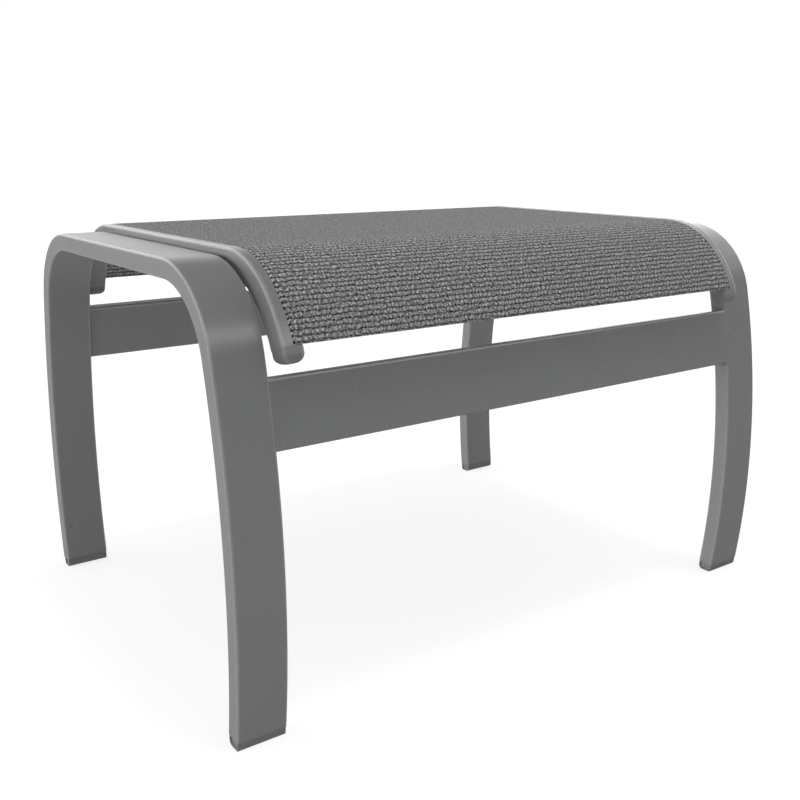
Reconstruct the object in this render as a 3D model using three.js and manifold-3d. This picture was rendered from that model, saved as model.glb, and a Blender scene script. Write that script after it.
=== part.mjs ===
// Patio ottoman footstool: two arched side frames of flat aluminium tube, joined by two stretchers,
// carry two curved rails, and a woven sling is stretched between the rails.
//
// Millimetres. X runs across the stool from side frame to side frame, Y from front to rear and Z up.
// The origin is on the floor under the middle of the stool.
import * as THREE from 'three';
import Module from 'manifold-3d';
import { mergeVertices } from 'three/addons/utils/BufferGeometryUtils.js';

const wasm = await Module();
wasm.setup();

const degree = Math.PI / 180;
const quarterTurn = Math.PI / 2;
const halfTurn = Math.PI;
const fullTurn = 2 * Math.PI;

// Overall size, measured over the two side frames
const frameWidth = 714;
const frameDepth = 523;
const frameHeight = 432.8;

// Side frames: flat tube with a tight shoulder bend and long bowed legs, radii at the outer face
const legTubeWidth = 50.8;
const legTubeThickness = 19.05;
const legTubeWall = 2;
const legTubeCorner = 2.4;
const shoulderRadius = 96;
const legBowRadius = 994;
const legBowLevel = 134.8;

// Foot glides, plugged into the square-cut ends of the legs
const glideHeight = 10.2;
const glideInset = 1;
const glideToeRadius = 1.5;
const glideHeelRadius = 7;
const glideEdge = 1.5;
const glidePlugDepth = 18;

// Stretchers between the legs, at the slope that the legs have there and a little behind their outer faces
const stretcherHeight = 64.5;
const stretcherThickness = 15;
const stretcherWall = 2;
const stretcherCorner = 2.4;
const stretcherDrop = 129.4;
const stretcherRecess = 0.6;

// Sling rails: extrusions inboard of the side frames and a little proud of their tops
const railWidth = 22;
const railDepth = 21;
const railWall = 1.6;
const railLip = 1.2;
const railBeadRadius = 1.5;
const railEdge = 2;
const railLobeRadius = 5.5;
const railGap = 4.4;
const railRise = 7.2;
const railStraight = 318;
const railShoulderRadius = 97.5;
const railShoulderSweep = 42 * degree;
const railDropRadius = 132;
const railEndSweep = 69.6 * degree;
const slotSetback = 12;

// Caps that close the rail ends with a round nose
const capCollar = 2;
const capPlugDepth = 12;
const capNoseLength = 9.5;
const capNoseSweep = 78 * degree;
const capNoseFullness = 0.8;
const capNoseDraft = 0.35;

// Sling and the splines that hold its edge pockets in the rails
const slingThickness = 1;
const slingEndSweep = 68 * degree;
const splineRadius = 2.2;

// Spreader bars under the sling, flat bar with turned-up ends
const spreaderWidth = 25.4;
const spreaderThickness = 4;
const spreaderBend = 8;
const spreaderDrop = 28;
const spreaderTabRise = 7.5;
const spreaderSetback = 105;

// Fasteners: bolts from the spreader tabs through the rails into threaded inserts in the side frames
const boltRadius = 2.4;
const boltHeadRadius = 4.6;
const boltHeadHeight = 3;
const boltHeadEdge = 1.2;
const spacerRadius = 7;
const insertBodyRadius = 3.8;
const insertFlangeRadius = 5;
const insertFlangeThickness = 0.8;
const insertDepth = 10;

// Clearance between pieces that touch, and the overrun of cutters and joined solids
const seatGap = 0.3;
const overrun = 1;

// Smoothness, in segments
const shoulderSteps = 10;
const legBowSteps = 8;
const railShoulderSteps = 6;
const railDropSteps = 4;
const cornerSteps = 2;
const channelSteps = 11;
const pocketSteps = 8;
const noseSteps = 5;
const soleSteps = 4;
const turnedSteps = 14;

// Sizes that follow from the ones above
const frameInboard = frameWidth / 2 - legTubeWidth;
const railOutboard = frameInboard - railGap;
const railInboard = railOutboard - railWidth;
const railTop = frameHeight + railRise;
const stretcherLevel = frameHeight - stretcherDrop;
const railFace = -railBeadRadius;
const pocketRadius = splineRadius + seatGap + slingThickness;
const channelRadius = pocketRadius + seatGap;
const slotHalf = slingThickness + seatGap;
const channelLevel = railFace - railLip - channelRadius;
const chamberTop = channelLevel - channelRadius - railWall;
const chamberBottom = -railDepth + railWall;
const slingUnderside = railFace + seatGap;
const slotX = railOutboard - slotSetback;
const boltLevel = railTop + (chamberTop + chamberBottom) / 2;
const boltHole = boltRadius + seatGap;
const tabFace = railInboard - seatGap;

const powderCoat = new THREE.MeshStandardMaterial({ color: 0x7d7f7e, roughness: 0.45, metalness: 0.25 });
const capPlastic = new THREE.MeshStandardMaterial({ color: 0x6f7170, roughness: 0.5, metalness: 0 });
const slingCloth = new THREE.MeshStandardMaterial({ color: 0x777777, roughness: 0.9, metalness: 0 });
const splinePlastic = new THREE.MeshStandardMaterial({ color: 0x2c2c2c, roughness: 0.5, metalness: 0 });
const plainAluminium = new THREE.MeshStandardMaterial({ color: 0xb4b6b8, roughness: 0.4, metalness: 0.9 });
const stainlessSteel = new THREE.MeshStandardMaterial({ color: 0xc0c2c4, roughness: 0.3, metalness: 1 });

const alongX = new THREE.Vector3(1, 0, 0);
const alongY = new THREE.Vector3(0, 1, 0);
const alongZ = new THREE.Vector3(0, 0, 1);
const sides = [{ name: 'left', sign: -1 }, { name: 'right', sign: 1 }];
const ends = [{ name: 'front', sign: -1 }, { name: 'rear', sign: 1 }];

/** Points on an arc, both ends included; a start above the end runs clockwise. */
function arcPoints(x, y, radius, from, to, steps) {
  return Array.from({ length: steps + 1 }, (_, step) => {
    const angle = THREE.MathUtils.lerp(from, to, step / steps);
    return new THREE.Vector2(x + radius * Math.cos(angle), y + radius * Math.sin(angle));
  });
}

/** A circle as a closed outline. */
function circlePoints(x, y, radius, steps) {
  return arcPoints(x, y, radius, 0, fullTurn, steps).slice(0, -1);
}

/** A rectangle with rounded corners about a centre. */
function roundedRectangle(x, y, width, height, corner) {
  const reachX = width / 2 - corner;
  const reachY = height / 2 - corner;
  return [
    ...arcPoints(x + reachX, y + reachY, corner, 0, quarterTurn, cornerSteps),
    ...arcPoints(x - reachX, y + reachY, corner, quarterTurn, halfTurn, cornerSteps),
    ...arcPoints(x - reachX, y - reachY, corner, halfTurn, halfTurn + quarterTurn, cornerSteps),
    ...arcPoints(x + reachX, y - reachY, corner, halfTurn + quarterTurn, fullTurn, cornerSteps),
  ];
}

/** A plain rectangle about a centre. */
function rectangle(x, y, width, height) {
  return [[1, 1], [-1, 1], [-1, -1], [1, -1]].map(
    ([signX, signY]) => new THREE.Vector2(x + signX * width / 2, y + signY * height / 2),
  );
}

/** Bends of an arch from its flat top downwards; each starts at the slope where the last one ended. */
function bendChain(topLevel, flatHalf, bends) {
  let start = 0;
  let centre = new THREE.Vector2(flatHalf, topLevel - bends[0].radius);
  let radius = bends[0].radius;
  return bends.map((bend) => {
    const towards = new THREE.Vector2(Math.sin(start), Math.cos(start));
    centre = centre.clone().addScaledVector(towards, radius - bend.radius);
    const piece = { ...bend, centre, from: start };
    radius = bend.radius;
    start = bend.to;
    return piece;
  });
}

/** The place on an arch where its surface has the given slope, at the front or rear end. */
function stationAt(chain, slope, end) {
  const bend = chain.find(({ to }) => slope <= to) ?? chain.at(-1);
  const y = bend.centre.x + bend.radius * Math.sin(slope);
  const z = bend.centre.y + bend.radius * Math.cos(slope);
  return {
    origin: new THREE.Vector3(0, end * y, z),
    outward: new THREE.Vector3(0, end * Math.sin(slope), Math.cos(slope)),
    downward: new THREE.Vector3(0, end * Math.cos(slope), -Math.sin(slope)),
  };
}

/** Slopes from the flat top to a last slope, evenly stepped in each bend. */
function slopesTo(chain, lastSlope) {
  const stepped = chain.flatMap(({ from, to, steps }) => Array.from(
    { length: steps },
    (_, step) => THREE.MathUtils.lerp(from, Math.min(to, lastSlope), (step + 1) / steps),
  ));
  return [0, ...stepped];
}

/** Stations of a whole arch, from its rear foot over the flat top to its front foot. */
function archStations(chain, slopes) {
  const rear = slopes.map((slope) => stationAt(chain, slope, 1)).reverse();
  const front = slopes.map((slope) => stationAt(chain, slope, -1));
  return [...rear, ...front];
}

/** A geometry from shared vertices and triangles, turned so that its faces point out. */
function closedGeometry(vertices, triangles) {
  const volume = triangles.reduce((sum, [a, b, c]) => {
    const normal = new THREE.Vector3().crossVectors(vertices[b], vertices[c]);
    return sum + vertices[a].dot(normal);
  }, 0);
  const turned = volume < 0 ? triangles.map(([a, b, c]) => [a, c, b]) : triangles;
  const geometry = new THREE.BufferGeometry().setFromPoints(vertices);
  geometry.setIndex(turned.flat());
  return geometry;
}

/** Triangles between two neighbouring rings of a closed outline. */
function ringBand(first, second, count) {
  return Array.from({ length: count }, (_, index) => {
    const next = (index + 1) % count;
    return [
      [first + index, first + next, second + index],
      [first + next, second + next, second + index],
    ];
  }).flat();
}

/** An outline with holes carried along stations; outline x is world X, outline y is outward. */
function sweep(outline, holes, stations) {
  const wound = (points, clockwise) => (
    THREE.ShapeUtils.isClockWise(points) === clockwise ? points : points.slice().reverse()
  );
  const contours = [wound(outline, false), ...holes.map((hole) => wound(hole, true))];
  const section = contours.flat();
  const vertices = stations.flatMap(({ origin, outward }) => section.map(
    (point) => origin.clone().addScaledVector(outward, point.y).addScaledVector(alongX, point.x),
  ));
  const triangles = [];
  for (let ring = 0; ring + 1 < stations.length; ring += 1) {
    let start = ring * section.length;
    for (const contour of contours) {
      triangles.push(...ringBand(start, start + section.length, contour.length));
      start += contour.length;
    }
  }
  const last = (stations.length - 1) * section.length;
  for (const face of THREE.ShapeUtils.triangulateShape(contours[0], contours.slice(1))) {
    const [a, b, c] = face;
    const turn = THREE.ShapeUtils.isClockWise([section[a], section[b], section[c]]) ? [a, c, b] : [a, b, c];
    triangles.push([turn[0], turn[2], turn[1]], turn.map((index) => last + index));
  }
  return closedGeometry(vertices, triangles);
}

/** A closed solid through rings of equally many points, each ring convex. */
function loft(rings) {
  const count = rings[0].length;
  const last = (rings.length - 1) * count;
  const triangles = rings.slice(1).flatMap((_, ring) => ringBand(ring * count, (ring + 1) * count, count));
  for (let index = 1; index + 1 < count; index += 1) {
    triangles.push([0, index + 1, index], [last, last + index, last + index + 1]);
  }
  return closedGeometry(rings.flat(), triangles);
}

/** Section points set up at a station. */
function ringAt({ origin, outward }, section) {
  return section.map(
    (point) => origin.clone().addScaledVector(outward, point.y).addScaledVector(alongX, point.x),
  );
}

/** A geometry as a solid that can be joined and cut. */
function toSolid(geometry) {
  const bare = geometry.clone();
  bare.deleteAttribute('normal');
  bare.deleteAttribute('uv');
  const merged = mergeVertices(bare);
  return new wasm.Manifold(new wasm.Mesh({
    numProp: 3,
    vertProperties: new Float32Array(merged.attributes.position.array),
    triVerts: new Uint32Array(merged.index.array),
  }));
}

/** A solid as a geometry. */
function toGeometry(solid) {
  const { vertProperties, triVerts } = solid.getMesh();
  const geometry = new THREE.BufferGeometry();
  geometry.setAttribute('position', new THREE.BufferAttribute(vertProperties, 3));
  geometry.setIndex(new THREE.BufferAttribute(triVerts, 1));
  return geometry;
}

/** A geometry with several others cut out of it. */
function cutAway(geometry, cutters) {
  return toGeometry(cutters.reduce((solid, cutter) => solid.subtract(toSolid(cutter)), toSolid(geometry)));
}

/** A round cutter along X between two planes. */
function crossCutter(radius, fromX, toX, y, z) {
  const cutter = new THREE.CylinderGeometry(radius, radius, Math.abs(toX - fromX), turnedSteps);
  cutter.rotateZ(-quarterTurn);
  cutter.translate((fromX + toX) / 2, y, z);
  return cutter;
}

/** A turned piece from a profile of radius and distance, its axis along X away from the middle. */
function turnedPiece(name, profile, material, sign, startX, y) {
  const points = profile.map(([radius, distance]) => new THREE.Vector2(radius, distance));
  const piece = new THREE.Mesh(new THREE.LatheGeometry(points, turnedSteps), material);
  piece.name = name;
  piece.rotation.z = -sign * quarterTurn;
  piece.position.set(sign * startX, y, boltLevel);
  return piece;
}

/** A named mesh. */
function piece(name, geometry, material) {
  geometry.computeVertexNormals();
  const mesh = new THREE.Mesh(geometry, material);
  mesh.name = name;
  return mesh;
}

// The leg bow has its centre at the level where the legs stand furthest apart, which fixes both slopes.
const bowOffset = shoulderRadius - legBowRadius;
const shoulderSweep = Math.acos((legBowLevel - frameHeight + shoulderRadius) / bowOffset);
const frameFlatHalf = frameDepth / 2 - legBowRadius - bowOffset * Math.sin(shoulderSweep);
const frameChain = bendChain(frameHeight, frameFlatHalf, [
  { radius: shoulderRadius, to: shoulderSweep, steps: shoulderSteps },
  { radius: legBowRadius, to: halfTurn, steps: legBowSteps },
]);
const legCentreRadius = legBowRadius - legTubeThickness / 2;
const legEndSweep = Math.acos((glideHeight - legBowLevel) / legCentreRadius);
const stretcherSweep = Math.acos((stretcherLevel - legBowLevel) / legCentreRadius);

const railChain = bendChain(railTop, railStraight / 2, [
  { radius: railShoulderRadius, to: railShoulderSweep, steps: railShoulderSteps },
  { radius: railDropRadius, to: halfTurn, steps: railDropSteps },
]);
const slingSlopes = slopesTo(railChain, slingEndSweep);

/** One side frame: a tube arch, open at both feet, with holes for the threaded inserts. */
function sideFrame({ name, sign }) {
  const middle = -legTubeThickness / 2;
  const outer = roundedRectangle(0, middle, legTubeWidth, legTubeThickness, legTubeCorner);
  const inner = rectangle(0, middle, legTubeWidth - 2 * legTubeWall, legTubeThickness - 2 * legTubeWall);
  const arch = sweep(outer, [inner], archStations(frameChain, slopesTo(frameChain, legEndSweep)));
  arch.translate(sign * (frameInboard + legTubeWidth / 2), 0, 0);
  const holes = ends.map((end) => crossCutter(
    insertBodyRadius + seatGap,
    sign * (frameInboard - overrun),
    sign * (frameInboard + legTubeWall + overrun),
    end.sign * spreaderSetback,
    boltLevel,
  ));
  return piece(`${name}_leg_frame`, cutAway(arch, holes), powderCoat);
}

/** A corner between two straight sides, rounded by a curve that starts and ends at a distance from it. */
function softCorner(before, corner, after, distance, steps) {
  const start = corner.clone().add(before.clone().sub(corner).setLength(distance));
  const end = corner.clone().add(after.clone().sub(corner).setLength(distance));
  return new THREE.QuadraticBezierCurve(start, corner, end).getPoints(steps);
}

/** A foot glide: a flat sole with a tight toe and a round heel, and a plug up the tube. */
function footGlide(side, end) {
  const foot = stationAt(frameChain, legEndSweep, end.sign);
  const place = (depth, down) => {
    const point = foot.origin.clone();
    point.addScaledVector(foot.outward, -depth).addScaledVector(foot.downward, down);
    return new THREE.Vector2(point.y, point.z);
  };
  const onFloor = (point) => {
    const slope = foot.downward.y / foot.downward.z;
    return new THREE.Vector2(point.x - point.y * slope, 0);
  };
  const outerTop = place(glideInset, seatGap);
  const innerTop = place(legTubeThickness - glideInset, seatGap);
  const toe = onFloor(outerTop);
  const heel = onFloor(innerTop);
  const sole = [
    outerTop,
    ...softCorner(outerTop, toe, heel, glideToeRadius, cornerSteps),
    ...softCorner(toe, heel, innerTop, glideHeelRadius, soleSteps),
    innerTop,
  ];
  const middle = new THREE.Box2().setFromPoints(sole).getCenter(new THREE.Vector2());
  const reach = outerTop.distanceTo(innerTop) / 2;
  const halfWidth = legTubeWidth / 2 - glideInset;
  const rounding = arcPoints(0, 0, glideEdge, 0, quarterTurn, cornerSteps);
  const slices = rounding.map(({ x, y }) => ({
    across: halfWidth - glideEdge + x,
    draw: (glideEdge - y) / reach,
  }));
  const sliceRing = ({ across, draw }, sign) => sole.map((point) => new THREE.Vector3(
    sign * across,
    THREE.MathUtils.lerp(point.x, middle.x, draw),
    THREE.MathUtils.lerp(point.y, middle.y, draw),
  ));
  const block = loft([
    ...slices.map((slice) => sliceRing(slice, -1)),
    ...slices.reverse().map((slice) => sliceRing(slice, 1)),
  ]);
  const plugSection = rectangle(
    0,
    -legTubeThickness / 2,
    legTubeWidth - 2 * (legTubeWall + seatGap),
    legTubeThickness - 2 * (legTubeWall + seatGap),
  );
  const plugSlopes = [legEndSweep - glidePlugDepth / legBowRadius, legEndSweep + glideInset / legBowRadius];
  const plug = sweep(plugSection, [], plugSlopes.map((slope) => stationAt(frameChain, slope, end.sign)));
  const joined = toGeometry(toSolid(block).add(toSolid(plug)));
  joined.translate(side.sign * (frameInboard + legTubeWidth / 2), 0, 0);
  return piece(`${end.name}_${side.name}_glide`, joined, capPlastic);
}

/** A stretcher: a flat tube across the stool, in line with the legs at its level. */
function stretcher(end) {
  const span = 2 * (frameInboard - seatGap);
  const toShape = (points) => new THREE.Shape(points);
  const shape = toShape(roundedRectangle(0, 0, stretcherThickness, stretcherHeight, stretcherCorner));
  const boreWidth = stretcherThickness - 2 * stretcherWall;
  const boreHeight = stretcherHeight - 2 * stretcherWall;
  shape.holes.push(toShape(rectangle(0, 0, boreWidth, boreHeight)));
  const geometry = new THREE.ExtrudeGeometry(shape, { depth: span, bevelEnabled: false });
  geometry.translate(0, 0, -span / 2);
  geometry.applyMatrix4(new THREE.Matrix4().makeBasis(alongY, alongZ, alongX));
  const { origin, outward } = stationAt(frameChain, stretcherSweep, end.sign);
  const mesh = piece(`${end.name}_stretcher`, geometry, powderCoat);
  mesh.position.copy(origin).addScaledVector(outward, -stretcherRecess - stretcherThickness / 2);
  mesh.rotation.x = end.sign * (quarterTurn - stretcherSweep);
  return mesh;
}

/** The rail's outline, from its outboard face inwards, with the slot and round channel for the sling. */
function railOutline() {
  const slotTurn = Math.asin(slotHalf / channelRadius);
  return [
    ...arcPoints(railEdge, railEdge - railDepth, railEdge, halfTurn + quarterTurn, halfTurn, cornerSteps),
    ...arcPoints(railBeadRadius, railFace, railBeadRadius, halfTurn, 0, 2 * cornerSteps),
    new THREE.Vector2(slotSetback - slotHalf, railFace),
    ...arcPoints(
      slotSetback,
      channelLevel,
      channelRadius,
      quarterTurn + slotTurn,
      fullTurn + quarterTurn - slotTurn,
      channelSteps,
    ),
    new THREE.Vector2(slotSetback + slotHalf, railFace),
    ...arcPoints(
      railWidth - railLobeRadius,
      railFace - railLobeRadius,
      railLobeRadius,
      quarterTurn,
      0,
      cornerSteps + 1,
    ),
    ...arcPoints(railWidth - railEdge, railEdge - railDepth, railEdge, 0, -quarterTurn, cornerSteps),
  ];
}

/** The hollow beside and under the sling channel. */
function railHollow() {
  const besideChannel = slotSetback - channelRadius - railWall;
  return [
    new THREE.Vector2(railWall, railFace - railWall),
    new THREE.Vector2(besideChannel, railFace - railWall),
    new THREE.Vector2(besideChannel, chamberTop),
    new THREE.Vector2(railWidth - railWall, chamberTop),
    new THREE.Vector2(railWidth - railWall, chamberBottom),
    new THREE.Vector2(railWall, chamberBottom),
  ];
}

/** Section points given from the rail's outboard face, put in their place across the stool. */
function acrossFrom(points, sign) {
  return points.map((point) => new THREE.Vector2(sign * (railOutboard - point.x), point.y));
}

/** A sling rail with its bolt holes. */
function slingRail({ name, sign }) {
  const stations = archStations(railChain, [...slingSlopes, railEndSweep]);
  const rail = sweep(acrossFrom(railOutline(), sign), [acrossFrom(railHollow(), sign)], stations);
  const holes = ends.map((end) => crossCutter(
    boltHole,
    sign * (railInboard - overrun),
    sign * (railOutboard + overrun),
    end.sign * spreaderSetback,
    boltLevel,
  ));
  return piece(`${name}_sling_rail`, cutAway(rail, holes), powderCoat);
}

/** A rail cap: a plug in the rail's hollow, a collar of the rail's outline and a round nose. */
function railCap(side, end) {
  const collar = [
    ...arcPoints(railEdge, railEdge - railDepth, railEdge, halfTurn + quarterTurn, halfTurn, cornerSteps),
    ...arcPoints(railBeadRadius, -railBeadRadius, railBeadRadius, halfTurn, quarterTurn, cornerSteps),
    ...arcPoints(railWidth - railLobeRadius, -railLobeRadius, railLobeRadius, quarterTurn, 0, cornerSteps),
    ...arcPoints(railWidth - railEdge, railEdge - railDepth, railEdge, 0, -quarterTurn, cornerSteps),
  ];
  const plugLeft = railWall + seatGap;
  const plugRight = railWidth - railWall - seatGap;
  const plugTop = chamberTop - seatGap;
  const plugBottom = chamberBottom + seatGap;
  const plugEdge = (plugTop - plugBottom) / 2 - seatGap;
  const plug = [
    ...arcPoints(plugLeft + plugEdge, plugBottom + plugEdge, plugEdge, -quarterTurn, -halfTurn, cornerSteps),
    ...arcPoints(plugLeft + plugEdge, plugTop - plugEdge, plugEdge, halfTurn, quarterTurn, cornerSteps),
    ...arcPoints(plugRight - plugEdge, plugTop - plugEdge, plugEdge, quarterTurn, 0, cornerSteps),
    ...arcPoints(plugRight - plugEdge, plugBottom + plugEdge, plugEdge, 0, -quarterTurn, cornerSteps),
  ];
  const beyond = (distance) => stationAt(railChain, railEndSweep + distance / railDropRadius, end.sign);
  const ring = (distance, section) => ringAt(beyond(distance), acrossFrom(section, side.sign));
  const middle = new THREE.Vector2(railWidth / 2, -railDepth / 2);
  const nose = Array.from({ length: noseSteps }, (_, step) => {
    const turn = capNoseSweep * (step + 1) / noseSteps;
    const narrow = Math.cos(turn) ** capNoseFullness;
    const thin = 1 - capNoseDraft * (1 - narrow);
    const section = collar.map((point) => new THREE.Vector2(
      THREE.MathUtils.lerp(middle.x, point.x, narrow),
      THREE.MathUtils.lerp(middle.y, point.y, thin),
    ));
    return ring(seatGap + capCollar + Math.sin(turn) * capNoseLength, section);
  });
  const rings = [
    ring(-capPlugDepth, plug),
    ring(seatGap, plug),
    ring(seatGap, collar),
    ring(seatGap + capCollar, collar),
    ...nose,
  ];
  return piece(`${end.name}_${side.name}_rail_cap`, loft(rings), capPlastic);
}

/** The sling: one cloth whose side edges turn down through the slots into pockets. */
function sling() {
  const neckTurn = Math.asin(slingThickness / pocketRadius);
  const rightEdge = [
    ...arcPoints(slotX, slingUnderside, slingThickness, quarterTurn, 0, cornerSteps),
    ...arcPoints(
      slotX,
      channelLevel,
      pocketRadius,
      quarterTurn - neckTurn,
      neckTurn - fullTurn + quarterTurn,
      channelSteps,
    ),
    new THREE.Vector2(slotX - slingThickness, slingUnderside),
  ];
  const leftEdge = rightEdge.map((point) => new THREE.Vector2(-point.x, point.y)).reverse();
  const pockets = sides.map(
    ({ sign }) => circlePoints(sign * slotX, channelLevel, splineRadius + seatGap, pocketSteps),
  );
  const cloth = sweep([...rightEdge, ...leftEdge], pockets, archStations(railChain, slingSlopes));
  return piece('sling', cloth, slingCloth);
}

/** A spline: the cord of plastic that fills a pocket and keeps it from pulling through the slot. */
function spline({ name, sign }) {
  const section = circlePoints(sign * slotX, channelLevel, splineRadius, pocketSteps);
  const cord = sweep(section, [], archStations(railChain, slingSlopes));
  return piece(`${name}_sling_spline`, cord, splinePlastic);
}

/** A spreader bar, bent up at both ends and bored for the bolts. */
function spreaderBar(end) {
  const top = boltLevel + spreaderTabRise;
  const bottom = boltLevel - spreaderDrop;
  const bendX = tabFace - spreaderBend;
  const bendZ = bottom + spreaderBend;
  const innerBend = spreaderBend - spreaderThickness;
  const shape = new THREE.Shape();
  shape.moveTo(-tabFace, top);
  shape.lineTo(-tabFace, bendZ);
  shape.absarc(-bendX, bendZ, spreaderBend, halfTurn, halfTurn + quarterTurn, false);
  shape.lineTo(bendX, bottom);
  shape.absarc(bendX, bendZ, spreaderBend, halfTurn + quarterTurn, fullTurn, false);
  shape.lineTo(tabFace, top);
  shape.lineTo(tabFace - spreaderThickness, top);
  shape.lineTo(tabFace - spreaderThickness, bendZ);
  shape.absarc(bendX, bendZ, innerBend, fullTurn, halfTurn + quarterTurn, true);
  shape.lineTo(-bendX, bottom + spreaderThickness);
  shape.absarc(-bendX, bendZ, innerBend, halfTurn + quarterTurn, halfTurn, true);
  shape.lineTo(spreaderThickness - tabFace, top);
  const bar = new THREE.ExtrudeGeometry(shape, {
    depth: spreaderWidth,
    curveSegments: cornerSteps + 1,
    bevelEnabled: false,
  });
  bar.rotateX(quarterTurn);
  bar.translate(0, end.sign * spreaderSetback + spreaderWidth / 2, 0);
  const holes = sides.map(({ sign }) => crossCutter(
    boltHole,
    sign * (tabFace - spreaderThickness - overrun),
    sign * (tabFace + overrun),
    end.sign * spreaderSetback,
    boltLevel,
  ));
  return piece(`${end.name}_spreader_bar`, cutAway(bar, holes), plainAluminium);
}

/** The bolt, spacer and threaded insert that hold a rail and a spreader tab to a side frame. */
function railFastening(side, end) {
  const y = end.sign * spreaderSetback;
  const name = `${end.name}_${side.name}`;
  const headStart = tabFace - spreaderThickness - seatGap - boltHeadHeight;
  const boltEnd = frameInboard + insertDepth - headStart;
  const bolt = turnedPiece(`${name}_rail_bolt`, [
    [0, 0],
    [boltHeadRadius - boltHeadEdge, 0],
    [boltHeadRadius, boltHeadEdge],
    [boltHeadRadius, boltHeadHeight],
    [boltRadius, boltHeadHeight],
    [boltRadius, boltEnd],
    [0, boltEnd],
  ], stainlessSteel, side.sign, headStart, y);
  const flangeStart = frameInboard - seatGap - insertFlangeThickness;
  const bodyEnd = frameInboard + insertDepth - flangeStart;
  const insert = turnedPiece(`${name}_threaded_insert`, [
    [boltHole, 0],
    [insertFlangeRadius, 0],
    [insertFlangeRadius, insertFlangeThickness],
    [insertBodyRadius, insertFlangeThickness],
    [insertBodyRadius, bodyEnd],
    [boltHole, bodyEnd],
    [boltHole, 0],
  ], stainlessSteel, side.sign, flangeStart, y);
  const spacerStart = railOutboard + seatGap;
  const spacerLength = flangeStart - seatGap - spacerStart;
  const spacer = turnedPiece(`${name}_rail_spacer`, [
    [boltHole, 0],
    [spacerRadius, 0],
    [spacerRadius, spacerLength],
    [boltHole, spacerLength],
    [boltHole, 0],
  ], splinePlastic, side.sign, spacerStart, y);
  return [bolt, insert, spacer];
}

const framework = new THREE.Group();
framework.add(...sides.map(sideFrame), ...ends.map(stretcher));
framework.add(...sides.flatMap((side) => ends.map((end) => footGlide(side, end))));

const seat = new THREE.Group();
seat.add(...sides.map(slingRail), sling(), ...sides.map(spline), ...ends.map(spreaderBar));
seat.add(...sides.flatMap((side) => ends.map((end) => railCap(side, end))));
seat.add(...sides.flatMap((side) => ends.flatMap((end) => railFastening(side, end))));

const footstool = new THREE.Group();
footstool.add(framework, seat);

export default footstool;
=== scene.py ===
"""The outdoor ottoman footstool in its real finishes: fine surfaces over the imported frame, in metres.

X runs across the stool from side frame to side frame, Y from front to rear and Z up. The origin is on the
floor under the middle of the stool. An outline has its x across the path that it follows and its y outward.
"""

import logging
import math
from dataclasses import dataclass, replace
from enum import Enum
from functools import cache, cached_property, reduce

import bpy
import numpy as np
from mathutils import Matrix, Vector
from mathutils.geometry import tessellate_polygon


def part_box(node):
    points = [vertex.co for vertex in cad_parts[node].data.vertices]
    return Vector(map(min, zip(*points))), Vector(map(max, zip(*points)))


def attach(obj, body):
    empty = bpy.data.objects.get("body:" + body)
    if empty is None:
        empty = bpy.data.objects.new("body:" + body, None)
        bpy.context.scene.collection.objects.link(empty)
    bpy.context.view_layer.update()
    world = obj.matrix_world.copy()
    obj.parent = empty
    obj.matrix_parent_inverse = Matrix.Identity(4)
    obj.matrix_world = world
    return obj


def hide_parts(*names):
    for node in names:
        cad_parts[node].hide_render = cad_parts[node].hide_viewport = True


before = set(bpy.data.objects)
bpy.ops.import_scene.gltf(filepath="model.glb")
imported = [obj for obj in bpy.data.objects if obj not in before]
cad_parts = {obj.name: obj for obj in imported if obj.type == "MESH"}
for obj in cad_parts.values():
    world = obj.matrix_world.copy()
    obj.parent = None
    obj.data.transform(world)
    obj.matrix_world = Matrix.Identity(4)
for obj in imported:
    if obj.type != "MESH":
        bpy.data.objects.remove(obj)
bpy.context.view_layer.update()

log = logging.getLogger("footstool")

MM = 0.001
DEGREE = math.pi / 180
QUARTER = math.pi / 2
HALF = math.pi
FULL = 2 * math.pi
CORNER_STEPS = 8
FINE_STEPS = 3
SUPPORT = 0.25 * MM
SHORTEST_RUN = 0.1 * MM
SMOOTH_BELOW = 38 * DEGREE
SEAT_GAP = 0.3 * MM
DUST_COLOUR = (186, 184, 178)
FILM_COLOUR = (150, 148, 142)


class Slot(Enum):
    """The record's material slots."""

    FRAME = "powder_coated_aluminium"
    TRIM = "moulded_trim"
    SLING = "woven_sling"
    SPLINE = "spline_and_spacer"
    ALUMINIUM = "plain_aluminium"
    STEEL = "stainless_steel"


class Side(Enum):
    """The left and right of the stool, by the sign of X."""

    LEFT = -1
    RIGHT = 1

    @property
    def word(self) -> str:
        """The side's word in the names of nodes."""
        return self.name.lower()


class End(Enum):
    """The front and rear of the stool, by the sign of Y."""

    FRONT = -1
    REAR = 1

    @property
    def word(self) -> str:
        """The end's word in the names of nodes."""
        return self.name.lower()


def arc(
    x: float, y: float, radius: float, start: float, stop: float, steps: int = CORNER_STEPS,
) -> np.ndarray:
    """Points of a round stretch: the centre plus the radius times the cosine and sine of even angles.

    Args:
        x: The centre's x.
        y: The centre's y.
        radius: The radius.
        start: The first angle, in radians.
        stop: The last angle, in radians; below the first it runs clockwise.
        steps: How many segments the stretch has.

    Returns:
        The points, one row each.
    """
    angle = np.linspace(start, stop, steps + 1)
    return np.stack([x + radius * np.cos(angle), y + radius * np.sin(angle)], axis=-1)


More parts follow.
